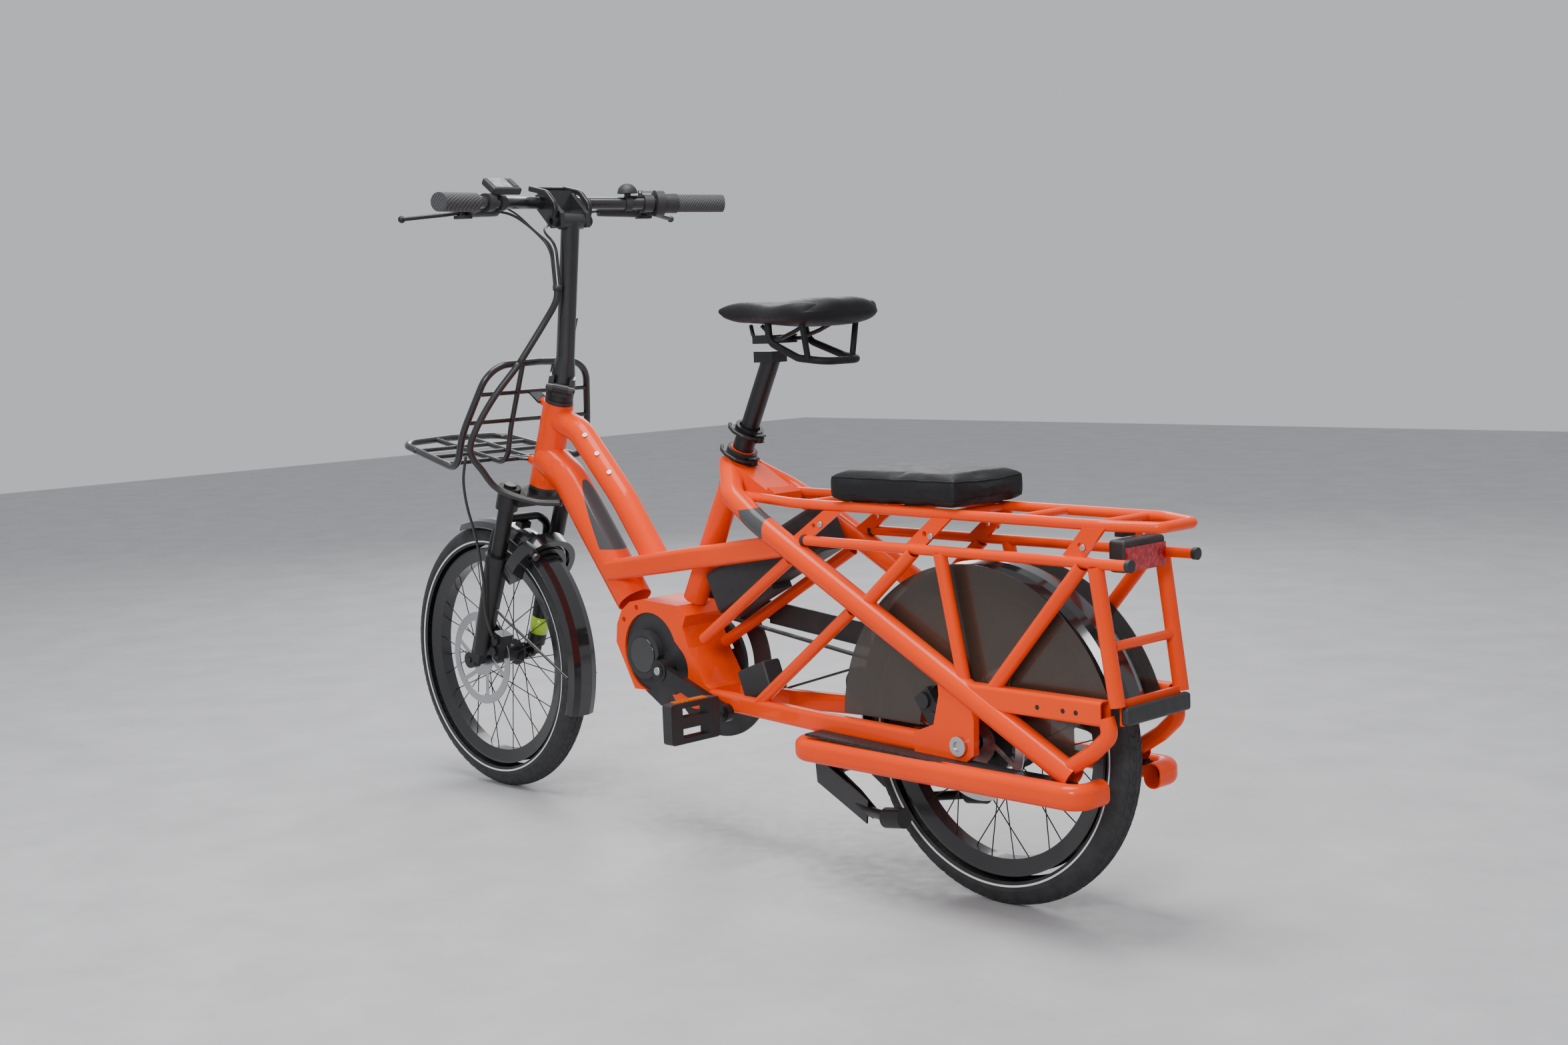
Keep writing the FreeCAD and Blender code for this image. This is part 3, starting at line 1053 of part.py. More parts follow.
def make_front_rack():
    """Tubular front rack bolted to the head tube."""
    half = [Vector(1096, 0, 829), Vector(1098, 112, 826), Vector(1148, 147, 700), Vector(1168, 147, 636),
            Vector(1386, 120, 677), Vector(1400, 0, 680)]
    left = bent_bar(half, 6.5, [58, 200, 34, 40])
    loop = left.fuse(mirrored(left))
    bars = []
    for s in SIDES:
        bars.append(bent_bar([Vector(1097.5, s * 37, 827), Vector(1146, s * 37, 706), Vector(1164, s * 37, 638),
                              Vector(1396, s * 37, 679)], 5, [120, 30]))
    for z, reach in ((774, 128), (722, 140)):
        x = 1098 + (826 - z) * 0.397
        bars.append(rod(Vector(x, -reach, z), Vector(x, reach, z), 4.2))
    for x in (1215, 1270, 1325):
        z = 645 + (x - 1215) * 0.188
        bars.append(rod(Vector(x, -135, z), Vector(x, 135, z), 4.2))
    lugs = []
    for down, plate_points in ((-150, [(1104, 742), (1082, 752), (1082, 740), (1120, 760), (1124, 772)]),
                               (-30, [])):
        tip = fork(down, 46 if down == -150 else 52)
        target = Vector(1119, 0, 774) if down == -150 else Vector(1167, 0, 646)
        middle = (tip + target) / 2
        way = (target - tip).normalize()
        lug = block(middle, way, Vector(-way.z, 0, way.x), (target - tip).Length + 8, 26, 4)
        lugs.append(lug)
    cross_low = rod(Vector(1167, -37, 646), Vector(1167, 37, 646), 4.2)
    shape = fused([loop] + bars + lugs + [cross_low])
    head = fused([rod(fork(0), fork(-HEAD_LENGTH), HEAD_RADIUS + 0.2),
                  rod(fork(-150, 20), fork(-150, 46), 8), rod(fork(-30, 20), fork(-30, 52), 8)])
    add("front_rack", largest(shape.cut(head)))


def make_tail_and_cushion():
    """Rear light, rubber bumper, rail caps, headset cups, cushion and fasteners."""
    housing = block(Vector(-262, 0, 552), Y, Z, 96, 30, 46)
    housing = housing.makeFillet(6, housing.Edges)
    lens_zone = block(Vector(-278, 0, 548), Y, Z, 90, 14, 34)
    add("frame_fittings", housing.cut(lens_zone))
    lens = block(Vector(-275, 0, 548), Y, Z, 90, 8, 34)
    add("rear_light_lens", lens)
    hook = block(Vector(-242, 0, 583), Y, Z, 30, 14, 16)
    add("frame_fittings", hook.cut(rod(Vector(-236, -60, 597), Vector(-236, 60, 597), 6)))
    bumper = block(Vector(-290, 0, 333), Y, Z, 150, 14, 26)
    add("frame_fittings", bumper.makeFillet(5, bumper.Edges))
    for s in SIDES:
        for x in (-303, 322):
            grow = -7 if x < 0 else 7
            cap = rod(Vector(x, s * LOWER_RAIL_SIDE, LOWER_RAIL_HEIGHT),
                      Vector(x + grow, s * LOWER_RAIL_SIDE, LOWER_RAIL_HEIGHT), RAIL_RADIUS + 1)
            plug = rod(Vector(x, s * LOWER_RAIL_SIDE, LOWER_RAIL_HEIGHT),
                       Vector(x - grow, s * LOWER_RAIL_SIDE, LOWER_RAIL_HEIGHT), RAIL_RADIUS - WALL)
            add("frame_fittings", cap.fuse(plug))
    low_cup = fused([sleeve(fork(-16), fork(0), HEAD_BORE, STEERER_RADIUS + RUNNING),
                     sleeve(fork(0), fork(6), 27, STEERER_RADIUS + RUNNING)])
    high_cup = fused([sleeve(fork(-HEAD_LENGTH), fork(-HEAD_LENGTH + 16), HEAD_BORE, STEERER_RADIUS + RUNNING),
                      sleeve(fork(-HEAD_LENGTH - 7), fork(-HEAD_LENGTH), 26, STEERER_RADIUS + RUNNING)])
    add("frame_fittings", low_cup, high_cup)
    box = block(Vector(482, 36, 298), Vector(0.9, 0, -0.35).normalize(), Vector(0.35, 0, 0.9).normalize(),
                70, 40, 52)
    box = box.makeFillet(5, box.Edges)
    add("frame_fittings", box)
    cushion = block(Vector(134, 0, 632.5), X, Z, 274, 172, 41)
    cushion = cushion.makeFillet(9, cushion.Edges)
    add("cushion", cushion)
    bolts = []
    for t in (0.18, 0.46, 0.74):
        base = Vector(984, 0, 701) + (Vector(868, 0, 584) - Vector(984, 0, 701)) * t
        out = Vector(-0.5, 0.62, 0.6).normalize()
        bolts.append(bolt(base + out * TOP_TUBE_RADIUS, out, 2.6, 6, 2.6))
    add("frame_fasteners", bolts)


def trim(name, neighbours):
    """Cut each solid of a node where it would run into its neighbours, keeping its main piece."""
    others = [shape for neighbour in neighbours for shape in NODES[neighbour]]
    trimmed = []
    for shape in NODES[name]:
        for solid in shape.Solids:
            close = [other for other in others if near(solid, other)]
            trimmed.append(largest(solid.cut(close)) if close else solid)
    NODES[name] = trimmed


def export():
    """Write each node, moved so that the origin is under the middle of the bicycle."""
    os.makedirs("parts", exist_ok=True)
    for name, shapes in NODES.items():
        solids = [solid for shape in shapes for solid in shape.Solids]
        whole = Part.makeCompound(solids) if len(solids) > 1 else solids[0]
        whole = whole.copy()
        whole.translate(Vector(-MIDDLE_X, 0, 0))
        whole.exportStep("parts/" + name + ".step")


stays_outer, beams_outer, seat_full, shell_full = make_frame()
chain_outers, foot_outers = make_lower_stays(stays_outer, shell_full)
low_rails, tail_boxes = make_side_struts(stays_outer, chain_outers, beams_outer, foot_outers)
make_cargo_rack(stays_outer, beams_outer, seat_full, low_rails, tail_boxes)
make_drive()
make_belt(chain_outers)
make_rear_wheel_area(chain_outers, stays_outer, tail_boxes)
make_front_wheel_area()
make_handlepost()
make_cockpit()
make_seat()
make_cranks()
make_stand()
make_front_rack()
make_tail_and_cushion()
seat_clear = sleeve(seat(-18), seat(14), 110, SEAT_TUBE_RADIUS)
NODES["seat_tube"] = [largest(shape.cut(seat_clear)) for shape in NODES["seat_tube"]]
stay_clear = rod(seat(-18), seat(14), 28)
NODES["main_stays"] = [largest(shape.cut(stay_clear)) for shape in NODES["main_stays"]]
struts = [solid for shape in NODES["side_struts"] for solid in shape.Solids]
upright = [solid for solid in struts if abs(solid.CenterOfMass.y) > 5]
across = [solid for solid in struts if abs(solid.CenterOfMass.y) <= 5]
NODES["side_struts"] = upright + [coped(solid, upright) for solid in across]
trim("cargo_rack", ["main_stays"])
trim("belt_guard", ["side_struts"])
trim("motor_shell", ["motor_unit"])
trim("frame_fasteners", ["top_tube"])
trim("frame_fittings", ["seat_tube", "main_stays", "chainstays", "foot_rails", "side_struts", "cargo_rack"])
trim("wheel_covers", ["frame_fittings"])
trim("steering_harness", ["down_tube"])
trim("front_brake_hose", ["fork_lowers"])
export()
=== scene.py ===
import json
import math

import bmesh
import bpy
import numpy as np
from mathutils import Matrix, Vector

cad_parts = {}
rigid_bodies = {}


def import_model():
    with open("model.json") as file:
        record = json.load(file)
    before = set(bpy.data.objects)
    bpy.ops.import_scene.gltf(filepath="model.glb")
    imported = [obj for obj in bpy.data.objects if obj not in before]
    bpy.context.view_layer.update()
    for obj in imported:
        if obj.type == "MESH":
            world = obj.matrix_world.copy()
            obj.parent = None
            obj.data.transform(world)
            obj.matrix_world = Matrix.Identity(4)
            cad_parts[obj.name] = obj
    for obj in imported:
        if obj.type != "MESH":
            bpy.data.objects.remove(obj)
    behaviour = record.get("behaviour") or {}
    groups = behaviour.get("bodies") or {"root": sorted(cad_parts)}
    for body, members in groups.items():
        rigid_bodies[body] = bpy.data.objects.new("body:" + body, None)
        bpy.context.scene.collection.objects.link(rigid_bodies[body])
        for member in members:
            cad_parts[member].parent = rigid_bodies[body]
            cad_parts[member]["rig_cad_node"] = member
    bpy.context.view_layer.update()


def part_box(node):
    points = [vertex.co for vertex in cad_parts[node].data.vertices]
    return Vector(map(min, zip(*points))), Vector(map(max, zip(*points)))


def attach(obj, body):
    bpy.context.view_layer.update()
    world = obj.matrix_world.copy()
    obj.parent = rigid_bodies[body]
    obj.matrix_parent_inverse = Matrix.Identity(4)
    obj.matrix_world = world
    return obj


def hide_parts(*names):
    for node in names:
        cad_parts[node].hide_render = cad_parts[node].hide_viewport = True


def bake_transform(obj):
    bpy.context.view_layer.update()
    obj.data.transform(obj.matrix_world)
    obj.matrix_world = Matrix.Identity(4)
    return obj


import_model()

# ---------------------------------------------------------------- sizes, metres
MIDDLE_X = 0.589
WHEELBASE = 1.269
TYRE_RADIUS = 0.258
TYRE_HALF = 0.0275
REAR_AXLE = Vector((-MIDDLE_X, 0.0, TYRE_RADIUS))
FRONT_AXLE = Vector((WHEELBASE - MIDDLE_X, 0.0, TYRE_RADIUS))
SIDES = (("right", -1), ("left", 1))


def at(x, y, z):
    """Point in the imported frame, from millimetres measured from the ground under the rear axle."""
    return Vector((x / 1000 - MIDDLE_X, y / 1000, z / 1000))


# ---------------------------------------------------------------- materials
class Shader:
    """Small helper that adds and joins shader nodes of one material."""

    def __init__(self, name):
        self.material = bpy.data.materials.new(name)
        self.material.use_nodes = True
        self.tree = self.material.node_tree
        self.base = self.tree.nodes["Principled BSDF"]
        coords = self.tree.nodes.new("ShaderNodeTexCoord")
        self.coords = coords.outputs["Object"]

    def node(self, kind, **values):
        made = self.tree.nodes.new(kind)
        for key, value in values.items():
            setattr(made, key, value)
        return made

    def link(self, source, target):
        self.tree.links.new(source, target)

    def noise(self, scale, detail=4.0, rough=0.55):
        made = self.node("ShaderNodeTexNoise")
        self.link(self.coords, made.inputs["Vector"])
        made.inputs["Scale"].default_value = scale
        made.inputs["Detail"].default_value = detail
        made.inputs["Roughness"].default_value = rough
        return made.outputs["Fac"]

    def voronoi(self, scale, feature="F1"):
        made = self.node("ShaderNodeTexVoronoi", feature=feature)
        self.link(self.coords, made.inputs["Vector"])
        made.inputs["Scale"].default_value = scale
        return made.outputs["Distance"]

    def ramp(self, source, low, high, out_low=0.0, out_high=1.0):
        made = self.node("ShaderNodeMapRange")
        self.link(source, made.inputs["Value"])
        made.inputs["From Min"].default_value = low
        made.inputs["From Max"].default_value = high
        made.inputs["To Min"].default_value = out_low
        made.inputs["To Max"].default_value = out_high
        return made.outputs["Result"]

    def maths(self, kind, first, second=None):
        made = self.node("ShaderNodeMath", operation=kind)
        for index, value in enumerate((first, second)):
            if value is None:
                continue
            if isinstance(value, (int, float)):
                made.inputs[index].default_value = value
            else:
                self.link(value, made.inputs[index])
        return made.outputs[0]

    def split(self):
        made = self.node("ShaderNodeSeparateXYZ")
        self.link(self.coords, made.inputs[0])
        return made.outputs

    def mix(self, fac, first, second):
        made = self.node("ShaderNodeMix", data_type="RGBA")
        if isinstance(fac, (int, float)):
            made.inputs[0].default_value = fac
        else:
            self.link(fac, made.inputs[0])
        for index, value in ((6, first), (7, second)):
            if isinstance(value, tuple):
                made.inputs[index].default_value = (*value, 1.0)
            else:
                self.link(value, made.inputs[index])
        return made.outputs[2]

    def bump(self, height, strength, distance, normal=None):
        made = self.node("ShaderNodeBump")
        self.link(height, made.inputs["Height"])
        made.inputs["Strength"].default_value = strength
        made.inputs["Distance"].default_value = distance
        if normal is not None:
            self.link(normal, made.inputs["Normal"])
        return made.outputs["Normal"]

    def colour(self, value):
        if isinstance(value, tuple):
            self.base.inputs["Base Color"].default_value = (*value, 1.0)
        else:
            self.link(value, self.base.inputs["Base Color"])

    def set(self, **values):
        names = {"rough": "Roughness", "metal": "Metallic", "coat": "Coat Weight",
                 "coat_rough": "Coat Roughness", "clear": "Transmission Weight", "ior": "IOR",
                 "sheen": "Sheen Weight", "spec": "Specular IOR Level", "normal": "Normal",
                 "alpha": "Alpha"}
        for key, value in values.items():
            socket = self.base.inputs[names[key]]
            if isinstance(value, (int, float)):
                socket.default_value = value
            else:
                self.link(value, socket)


def worn(name, tint, dark, rough, metal=0.0, coat=0.0, grain=400.0, depth=0.0004, strength=0.12):
    """Satin or gloss surface with cloudy colour, varied roughness and a fine grain."""
    s = Shader(name)
    cloud = s.noise(6.0, 5.0)
    fine = s.noise(grain, 3.0)
    s.colour(s.mix(s.ramp(cloud, 0.3, 0.7), tint, dark))
    s.set(rough=s.ramp(s.noise(38.0, 6.0), 0.3, 0.75, rough * 0.8, min(1.0, rough * 1.25)), metal=metal,
          coat=coat, coat_rough=0.08, normal=s.bump(fine, strength, depth))
    return s.material


ORANGE = (0.92, 0.060, 0.0)
ORANGE_DEEP = (0.84, 0.050, 0.0)


def paint(name, panels=()):
    """Glossy enamel with faint orange peel; grey panels are drawn where the half planes all hold."""
    s = Shader(name)
    colour = s.mix(s.ramp(s.noise(5.0, 4.0), 0.3, 0.7), ORANGE, ORANGE_DEEP)
    peel = s.bump(s.noise(260.0, 2.0), 0.05, 0.0006)
    axes = s.split()
    for sides, tone in panels:
        inside = None
        for a, b, c in sides:
            value = s.maths("ADD", s.maths("MULTIPLY", axes[0], a), s.maths("MULTIPLY", axes[2], b))
            edge = s.maths("GREATER_THAN", s.maths("ADD", value, c), 0.0)
            inside = edge if inside is None else s.maths("MULTIPLY", inside, edge)
        colour = s.mix(inside, colour, tone)
    s.colour(colour)
    s.set(rough=s.ramp(s.noise(30.0, 5.0), 0.3, 0.75, 0.3, 0.42), coat=0.3, coat_rough=0.03, spec=0.1,
          normal=peel)
    return s.material


def half_planes(points):
    """Half planes (a, b, c) of a convex outline of (x, z) corners in order."""
    centre = (sum(p[0] for p in points) / len(points), sum(p[1] for p in points) / len(points))
    sides = []
    for index, (x, z) in enumerate(points):
        x2, z2 = points[(index + 1) % len(points)]
        a, b = z2 - z, x - x2
        c = -(a * x + b * z)
        if a * centre[0] + b * centre[1] + c < 0:
            a, b, c = -a, -b, -c
        length = math.hypot(a, b)
        sides.append((a / length, b / length, c / length))
    return sides


def panel(corners, tone):
    """Patch of another colour inside an outline of (x, z) corners in millimetres."""
    return half_planes([(x / 1000 - MIDDLE_X, z / 1000) for x, z in corners]), tone


GREY = (0.07, 0.07, 0.074)
# outlines in x and z, in millimetres
DOWN_TUBE_PATCH = [(978, 612), (930, 640), (838, 518), (850, 488), (906, 490)]
STAY_PATCH = [(462, 588), (404, 596), (402, 545), (448, 542)]
MATERIALS = {
    "frame": paint("frame_enamel"),
    "down": paint("down_tube_enamel", [panel(DOWN_TUBE_PATCH, GREY)]),
    "stay": paint("stay_enamel", [panel(STAY_PATCH, GREY)]),
    "black": worn("black_anodised", (0.012, 0.012, 0.013), (0.018, 0.018, 0.019), 0.38, metal=0.35, coat=0.1),
    "satin_black": worn("satin_black_paint", (0.013, 0.013, 0.014), (0.02, 0.02, 0.021), 0.32, metal=0.1,
                        coat=0.35),
    "gloss_black": worn("gloss_black_plastic", (0.010, 0.010, 0.011), (0.014, 0.014, 0.015), 0.16, coat=0.7,
                        grain=200.0, depth=0.0003, strength=0.04),
    "plastic": worn("moulded_black_plastic", (0.016, 0.016, 0.017), (0.024, 0.024, 0.026), 0.52, grain=900.0,
                    depth=0.0005, strength=0.35),
    "rubber": worn("grey_rubber", (0.030, 0.030, 0.032), (0.042, 0.042, 0.045), 0.7, grain=700.0,
                   depth=0.0006, strength=0.4),
    "hose": worn("hose_black", (0.012, 0.012, 0.012), (0.02, 0.02, 0.02), 0.42, coat=0.1, grain=500.0),
    "steel": worn("turned_steel", (0.56, 0.56, 0.57), (0.44, 0.44, 0.46), 0.3, metal=1.0, grain=600.0,
                  depth=0.0002, strength=0.25),
    "silver": worn("bright_alloy", (0.72, 0.72, 0.73), (0.62, 0.62, 0.64), 0.26, metal=1.0),
}


def cellular(name, scale, tint, dark, rough, coat, strength, depth, span=(0.1, 0.6)):
    """Moulded prisms or studs: small cells that shade the colour and stand out of the surface."""
    s = Shader(name)
    cells = s.voronoi(scale)
    s.colour(s.mix(s.ramp(cells, *span), tint, dark))
    s.set(rough=rough, coat=coat, normal=s.bump(cells, strength, depth))
    return s.material


def grip_material():
    s = Shader("ribbed_grip")
    ribs = s.node("ShaderNodeTexWave", wave_type="BANDS", bands_direction="DIAGONAL")
    s.link(s.coords, ribs.inputs["Vector"])
    ribs.inputs["Scale"].default_value = 95.0
    ribs.inputs["Distortion"].default_value = 1.5
    height = s.maths("ADD", ribs.outputs["Fac"], s.noise(800.0, 2.0))
    s.colour(s.mix(s.ramp(ribs.outputs["Fac"], 0.2, 0.8), (0.035, 0.035, 0.038), (0.075, 0.075, 0.08)))
    s.set(rough=0.72, normal=s.bump(height, 0.6, 0.0009))
    return s.material


def smoke_material():
    s = Shader("smoke_plastic")
    s.colour(s.mix(s.ramp(s.noise(5.0, 5.0), 0.3, 0.7), (0.060, 0.043, 0.030), (0.030, 0.025, 0.022)))
    s.set(rough=s.ramp(s.noise(60.0, 5.0), 0.3, 0.7, 0.16, 0.28), alpha=0.84, coat=0.3,
          normal=s.bump(s.noise(18.0, 2.0), 0.05, 0.001))
    return s.material


def leather_material(name, scale):
    s = Shader(name)
    grain = s.voronoi(scale, "SMOOTH_F1")
    crease = s.noise(scale * 0.08, 6.0, 0.65)
    normal = s.bump(grain, 0.35, 0.0006)
    normal = s.bump(crease, 0.3, 0.0012, normal)
    s.colour(s.mix(s.ramp(grain, 0.1, 0.7), (0.006, 0.006, 0.007), (0.014, 0.014, 0.015)))
    s.set(rough=s.ramp(crease, 0.3, 0.7, 0.5, 0.66), spec=0.25, normal=normal)
    return s.material


def tyre_material():
    s = Shader("tyre_rubber")
    s.colour(s.mix(s.ramp(s.noise(40.0, 6.0), 0.3, 0.7), (0.013, 0.013, 0.014), (0.026, 0.026, 0.027)))
    s.set(rough=s.ramp(s.noise(90.0, 4.0), 0.3, 0.7, 0.55, 0.75),
          normal=s.bump(s.noise(1200.0, 2.0), 0.3, 0.0005))
    return s.material


def screen_material():
    s = Shader("display_glass")
    s.colour(s.mix(s.ramp(s.noise(70.0, 1.0), 0.45, 0.55), (0.33, 0.35, 0.36), (0.25, 0.27, 0.28)))
    s.set(rough=0.1, coat=1.0)
    return s.material


GRIP = grip_material()
SMOKE = smoke_material()
VINYL = leather_material("black_vinyl", 900.0)
SADDLE_SKIN = leather_material("saddle_cover", 1400.0)
TYRE = tyre_material()
SCREEN = screen_material()
LENS = cellular("red_lens", 160.0, (0.75, 0.01, 0.015), (0.32, 0.0, 0.008), 0.12, 0.9, 0.5, 0.0012,
                (0.0, 0.6))
REFLECT = cellular("reflective_strip", 900.0, (0.82, 0.84, 0.85), (0.66, 0.68, 0.7), 0.35, 0.0, 0.2, 0.0003)
LIME = cellular("lime_reflector", 500.0, (0.55, 0.85, 0.03), (0.36, 0.62, 0.01), 0.3, 0.5, 0.3, 0.0005)
AMBER = cellular("amber_reflector", 420.0, (0.9, 0.24, 0.01), (0.55, 0.11, 0.0), 0.2, 0.7, 0.4, 0.0006)
TAPE = cellular("deck_grip", 170.0, (0.03, 0.03, 0.031), (0.012, 0.012, 0.013), 0.6, 0.0, 0.6, 0.0012,
                (0.1, 0.5))

LOOKS = {
    "frame": ["head_tube", "top_tube", "seat_tube", "motor_shell", "chainstays", "side_struts", "cargo_rack",
              "foot_rails"],
    "down": ["down_tube"],
    "stay": ["main_stays"],
    "black": ["fork_crown", "fork_lowers", "handlepost_lever", "stem_levers", "seat_sleeve", "seatpost",
              "lower_cam_lever", "upper_cam_lever", "left_brake_lever", "right_brake_lever", "rear_hub",
              "front_hub", "kickstand", "crankset"],
    "satin_black": ["handlepost", "stem", "handlebar", "front_rack", "front_rim", "rear_rim", "foot_decks"],
    "gloss_black": ["front_fender", "rear_fender", "wheel_lock"],
    "plastic": ["motor_unit", "battery", "belt_guard", "frame_fittings", "bar_fittings", "left_pedal",
                "right_pedal", "twist_shifter", "display_key"],
    "rubber": ["drive_belt"],
    "hose": ["steering_harness", "front_brake_hose", "bar_cables"],
    "steel": ["front_rotor", "rear_rotor", "frame_fasteners", "lock_bolt", "rear_cog", "bell_striker"],
}
shown = {o.get("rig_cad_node", o.name): o for o in bpy.data.objects if "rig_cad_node" in o}


def give(node, material):
    """Set the one material of a CAD piece."""
    mesh = shown[node].data
    mesh.materials.clear()
    mesh.materials.append(material)


for look, nodes in LOOKS.items():
    for node in nodes:
        give(node, MATERIALS[look])
for node, material in (("grips", GRIP), ("wheel_covers", SMOKE), ("rear_light_lens", LENS),
                       ("saddle", SADDLE_SKIN), ("cushion", VINYL), ("front_tyre", TYRE),
                       ("rear_tyre", TYRE)):
    give(node, material)


# ---------------------------------------------------------------- mesh helpers
def placed(name, mesh):
    """Object of a mesh, linked into the scene."""
    made = bpy.data.objects.new(name, mesh)
    bpy.context.scene.collection.objects.link(made)
    return made


def shade(mesh, smooth):
    mesh.polygons.foreach_set("use_smooth", [smooth] * len(mesh.polygons))


def new_object(name, vertices, faces, material, smooth=True):
    mesh = bpy.data.meshes.new(name)
    mesh.from_pydata([tuple(v) for v in vertices], [], faces)
    mesh.validate()
    shade(mesh, smooth)
    mesh.materials.append(material)
    return placed(name, mesh)


def copy_of(node, name):
    """Copy of a CAD piece, in its place and with its look."""
    source = shown[node]
    made = placed(name, source.data.copy())
    made.matrix_world = source.matrix_world.copy()
    return made


def smooth_path(points, per_span=10):
    """Points along a smooth curve through the given ones."""
    points = [Vector(p) for p in points]
    ends = [points[0] * 2 - points[1]] + points + [points[-1] * 2 - points[-2]]
    path = []
    for i in range(1, len(ends) - 2):
        a, b, c, d = ends[i - 1:i + 3]
        for k in range(per_span):
            t = k / per_span
            path.append(0.5 * ((2 * b) + (c - a) * t + (2 * a - 5 * b + 4 * c - d) * t * t
                               + (3 * b - a - 3 * c + d) * t ** 3))
    path.append(points[-1])
    return path


def tube(name, points, radius, material, sides=14, per_span=10):
    """Round hose through the points, closed at both ends."""
    path = smooth_path(points, per_span)
    vertices, faces = [], []
    normal = None
    for i, p in enumerate(path):
        way = (path[min(i + 1, len(path) - 1)] - path[max(i - 1, 0)]).normalized()
        if normal is None:
            normal = way.orthogonal().normalized()
        normal = (normal - way * normal.dot(way)).normalized()
        other = way.cross(normal)
        for k in range(sides):
            angle = 2 * math.pi * k / sides
            vertices.append(p + normal * (radius * math.cos(angle)) + other * (radius * math.sin(angle)))
    for i in range(len(path) - 1):
        for k in range(sides):
            n = (k + 1) % sides
            faces.append((i * sides + k, i * sides + n, (i + 1) * sides + n, (i + 1) * sides + k))
    faces.append(tuple(range(sides))[::-1])
    faces.append(tuple((len(path) - 1) * sides + k for k in range(sides)))
    return new_object(name, vertices, faces, material)


def revolved(name, centre, profile, material, steps=180, depth=None):
    """Band about a level axle from (radius, y) points; depth(step, index) moves a point outward."""
    vertices, faces = [], []
    count = len(profile)
    for i in range(steps):
        angle = 2 * math.pi * i / steps
        for k, (radius, y) in enumerate(profile):
            r = radius + (depth(i, k) if depth else 0.0)
            vertices.append(centre + Vector((r * math.cos(angle), y, r * math.sin(angle))))
    for i in range(steps):
        n = (i + 1) % steps
        for k in range(count - 1):
            faces.append((i * count + k, i * count + k + 1, n * count + k + 1, n * count + k))
    return new_object(name, vertices, faces, material)


# ---------------------------------------------------------------- tyres
# angles are in degrees from the crown, sizes in metres
CASING_WRAP = 118
CASING_SPANS = 60
CASING_STEPS = 720
TREAD_DEPTH = 0.0021
TREAD_EDGE = 62
# outer edge, steps from one sipe to the next, last step of the sipe, height of a block and of a sipe
TREAD_ROWS = ((5, 12, 1, 0.0021, 0.0006), (30, 8, 1, 0.0020, 0.0005), (62, 10, 2, 0.0018, 0.0004))
ROW_OFFSET = 6
ROW_SLANT = 0.12
GROOVES = (7, 30)
GROOVE_HALF = 2.2
GROOVE_HEIGHT = 0.0003
BLOCK_LEAN = 0.9
SIDEWALL_RIBS = ((84, 0.0005), (108, 0.0006))
RIB_HALF = 3
STRIP_ANGLES = (99.0, 102.5, 106.0)
STRIP_SINK = 0.0016


def tread_height(step, angle):
    """Height of the tread at an angle in degrees from the crown: siped rib, grooves and rows of blocks."""
    lane = abs(angle)
    if lane > TREAD_EDGE:
        return 0.0
    if lane >= TREAD_ROWS[0][0] and any(abs(lane - groove) < GROOVE_HALF for groove in GROOVES):
        return GROOVE_HEIGHT
    shift = step + (ROW_OFFSET if angle > 0 else 0) + int(lane * ROW_SLANT)
    period, sipe, block, gap = next(row[1:] for row in TREAD_ROWS if lane <= row[0])
    return block if shift % period > sipe else gap


def make_tyre(prefix, centre):
    """Street tyre: a rounded casing with siped tread blocks, sidewall ribs and a reflective strip."""
    middle = TYRE_RADIUS - TYRE_HALF
    angles = [-CASING_WRAP + 2 * CASING_WRAP * k / CASING_SPANS for k in range(CASING_SPANS + 1)]
    profile = []
    for angle in angles:
        radius = TYRE_HALF - TREAD_DEPTH
        for place, height in SIDEWALL_RIBS:
            if abs(abs(angle) - place) < RIB_HALF:
                radius += height
        turn = math.radians(angle)
        profile.append((middle + radius * math.cos(turn), radius * math.sin(turn)))

    def tread(step, index):
        return tread_height(step, angles[index]) * math.cos(math.radians(angles[index]) * BLOCK_LEAN)

    made = revolved(prefix + "_tyre_treaded", centre, profile, TYRE, CASING_STEPS, tread)
    shade(made.data, False)
    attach(made, prefix + "_wheel")
    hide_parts(prefix + "_tyre")
    for side, s in SIDES:
        radius = TYRE_HALF - STRIP_SINK
        turns = [math.radians(angle) for angle in STRIP_ANGLES]
        strip = [(middle + radius * math.cos(turn), s * radius * math.sin(turn)) for turn in turns]
        band = revolved(prefix + "_tyre_strip_" + side, centre, strip, REFLECT)
        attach(band, prefix + "_wheel")


make_tyre("front", FRONT_AXLE)
make_tyre("rear", REAR_AXLE)


# ---------------------------------------------------------------- hoses
# routes and places given to at() are in millimetres here and below, sizes and radii in metres
HARNESS_RADIUS = 0.0062
HARNESS_ROUTE = ((994, 27, 964), (998, 30, 938), (1018, 42, 902), (1050, 80, 829), (1080, 122, 766),
                 (1106, 148, 706), (1119, 150, 669), (1115, 130, 636), (1104, 102, 598), (1057, 60, 574),
                 (1018, 24, 569))

harness = [at(*p) for p in HARNESS_ROUTE]
low = tube("harness_lower", harness[3:], HARNESS_RADIUS, MATERIALS["hose"])
high = tube("harness_upper", harness[:4], HARNESS_RADIUS, MATERIALS["hose"])
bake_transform(low)
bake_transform(high)
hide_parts("steering_harness")

brake_hose = copy_of("front_brake_hose", "brake_hose")
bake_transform(brake_hose)
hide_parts("front_brake_hose")

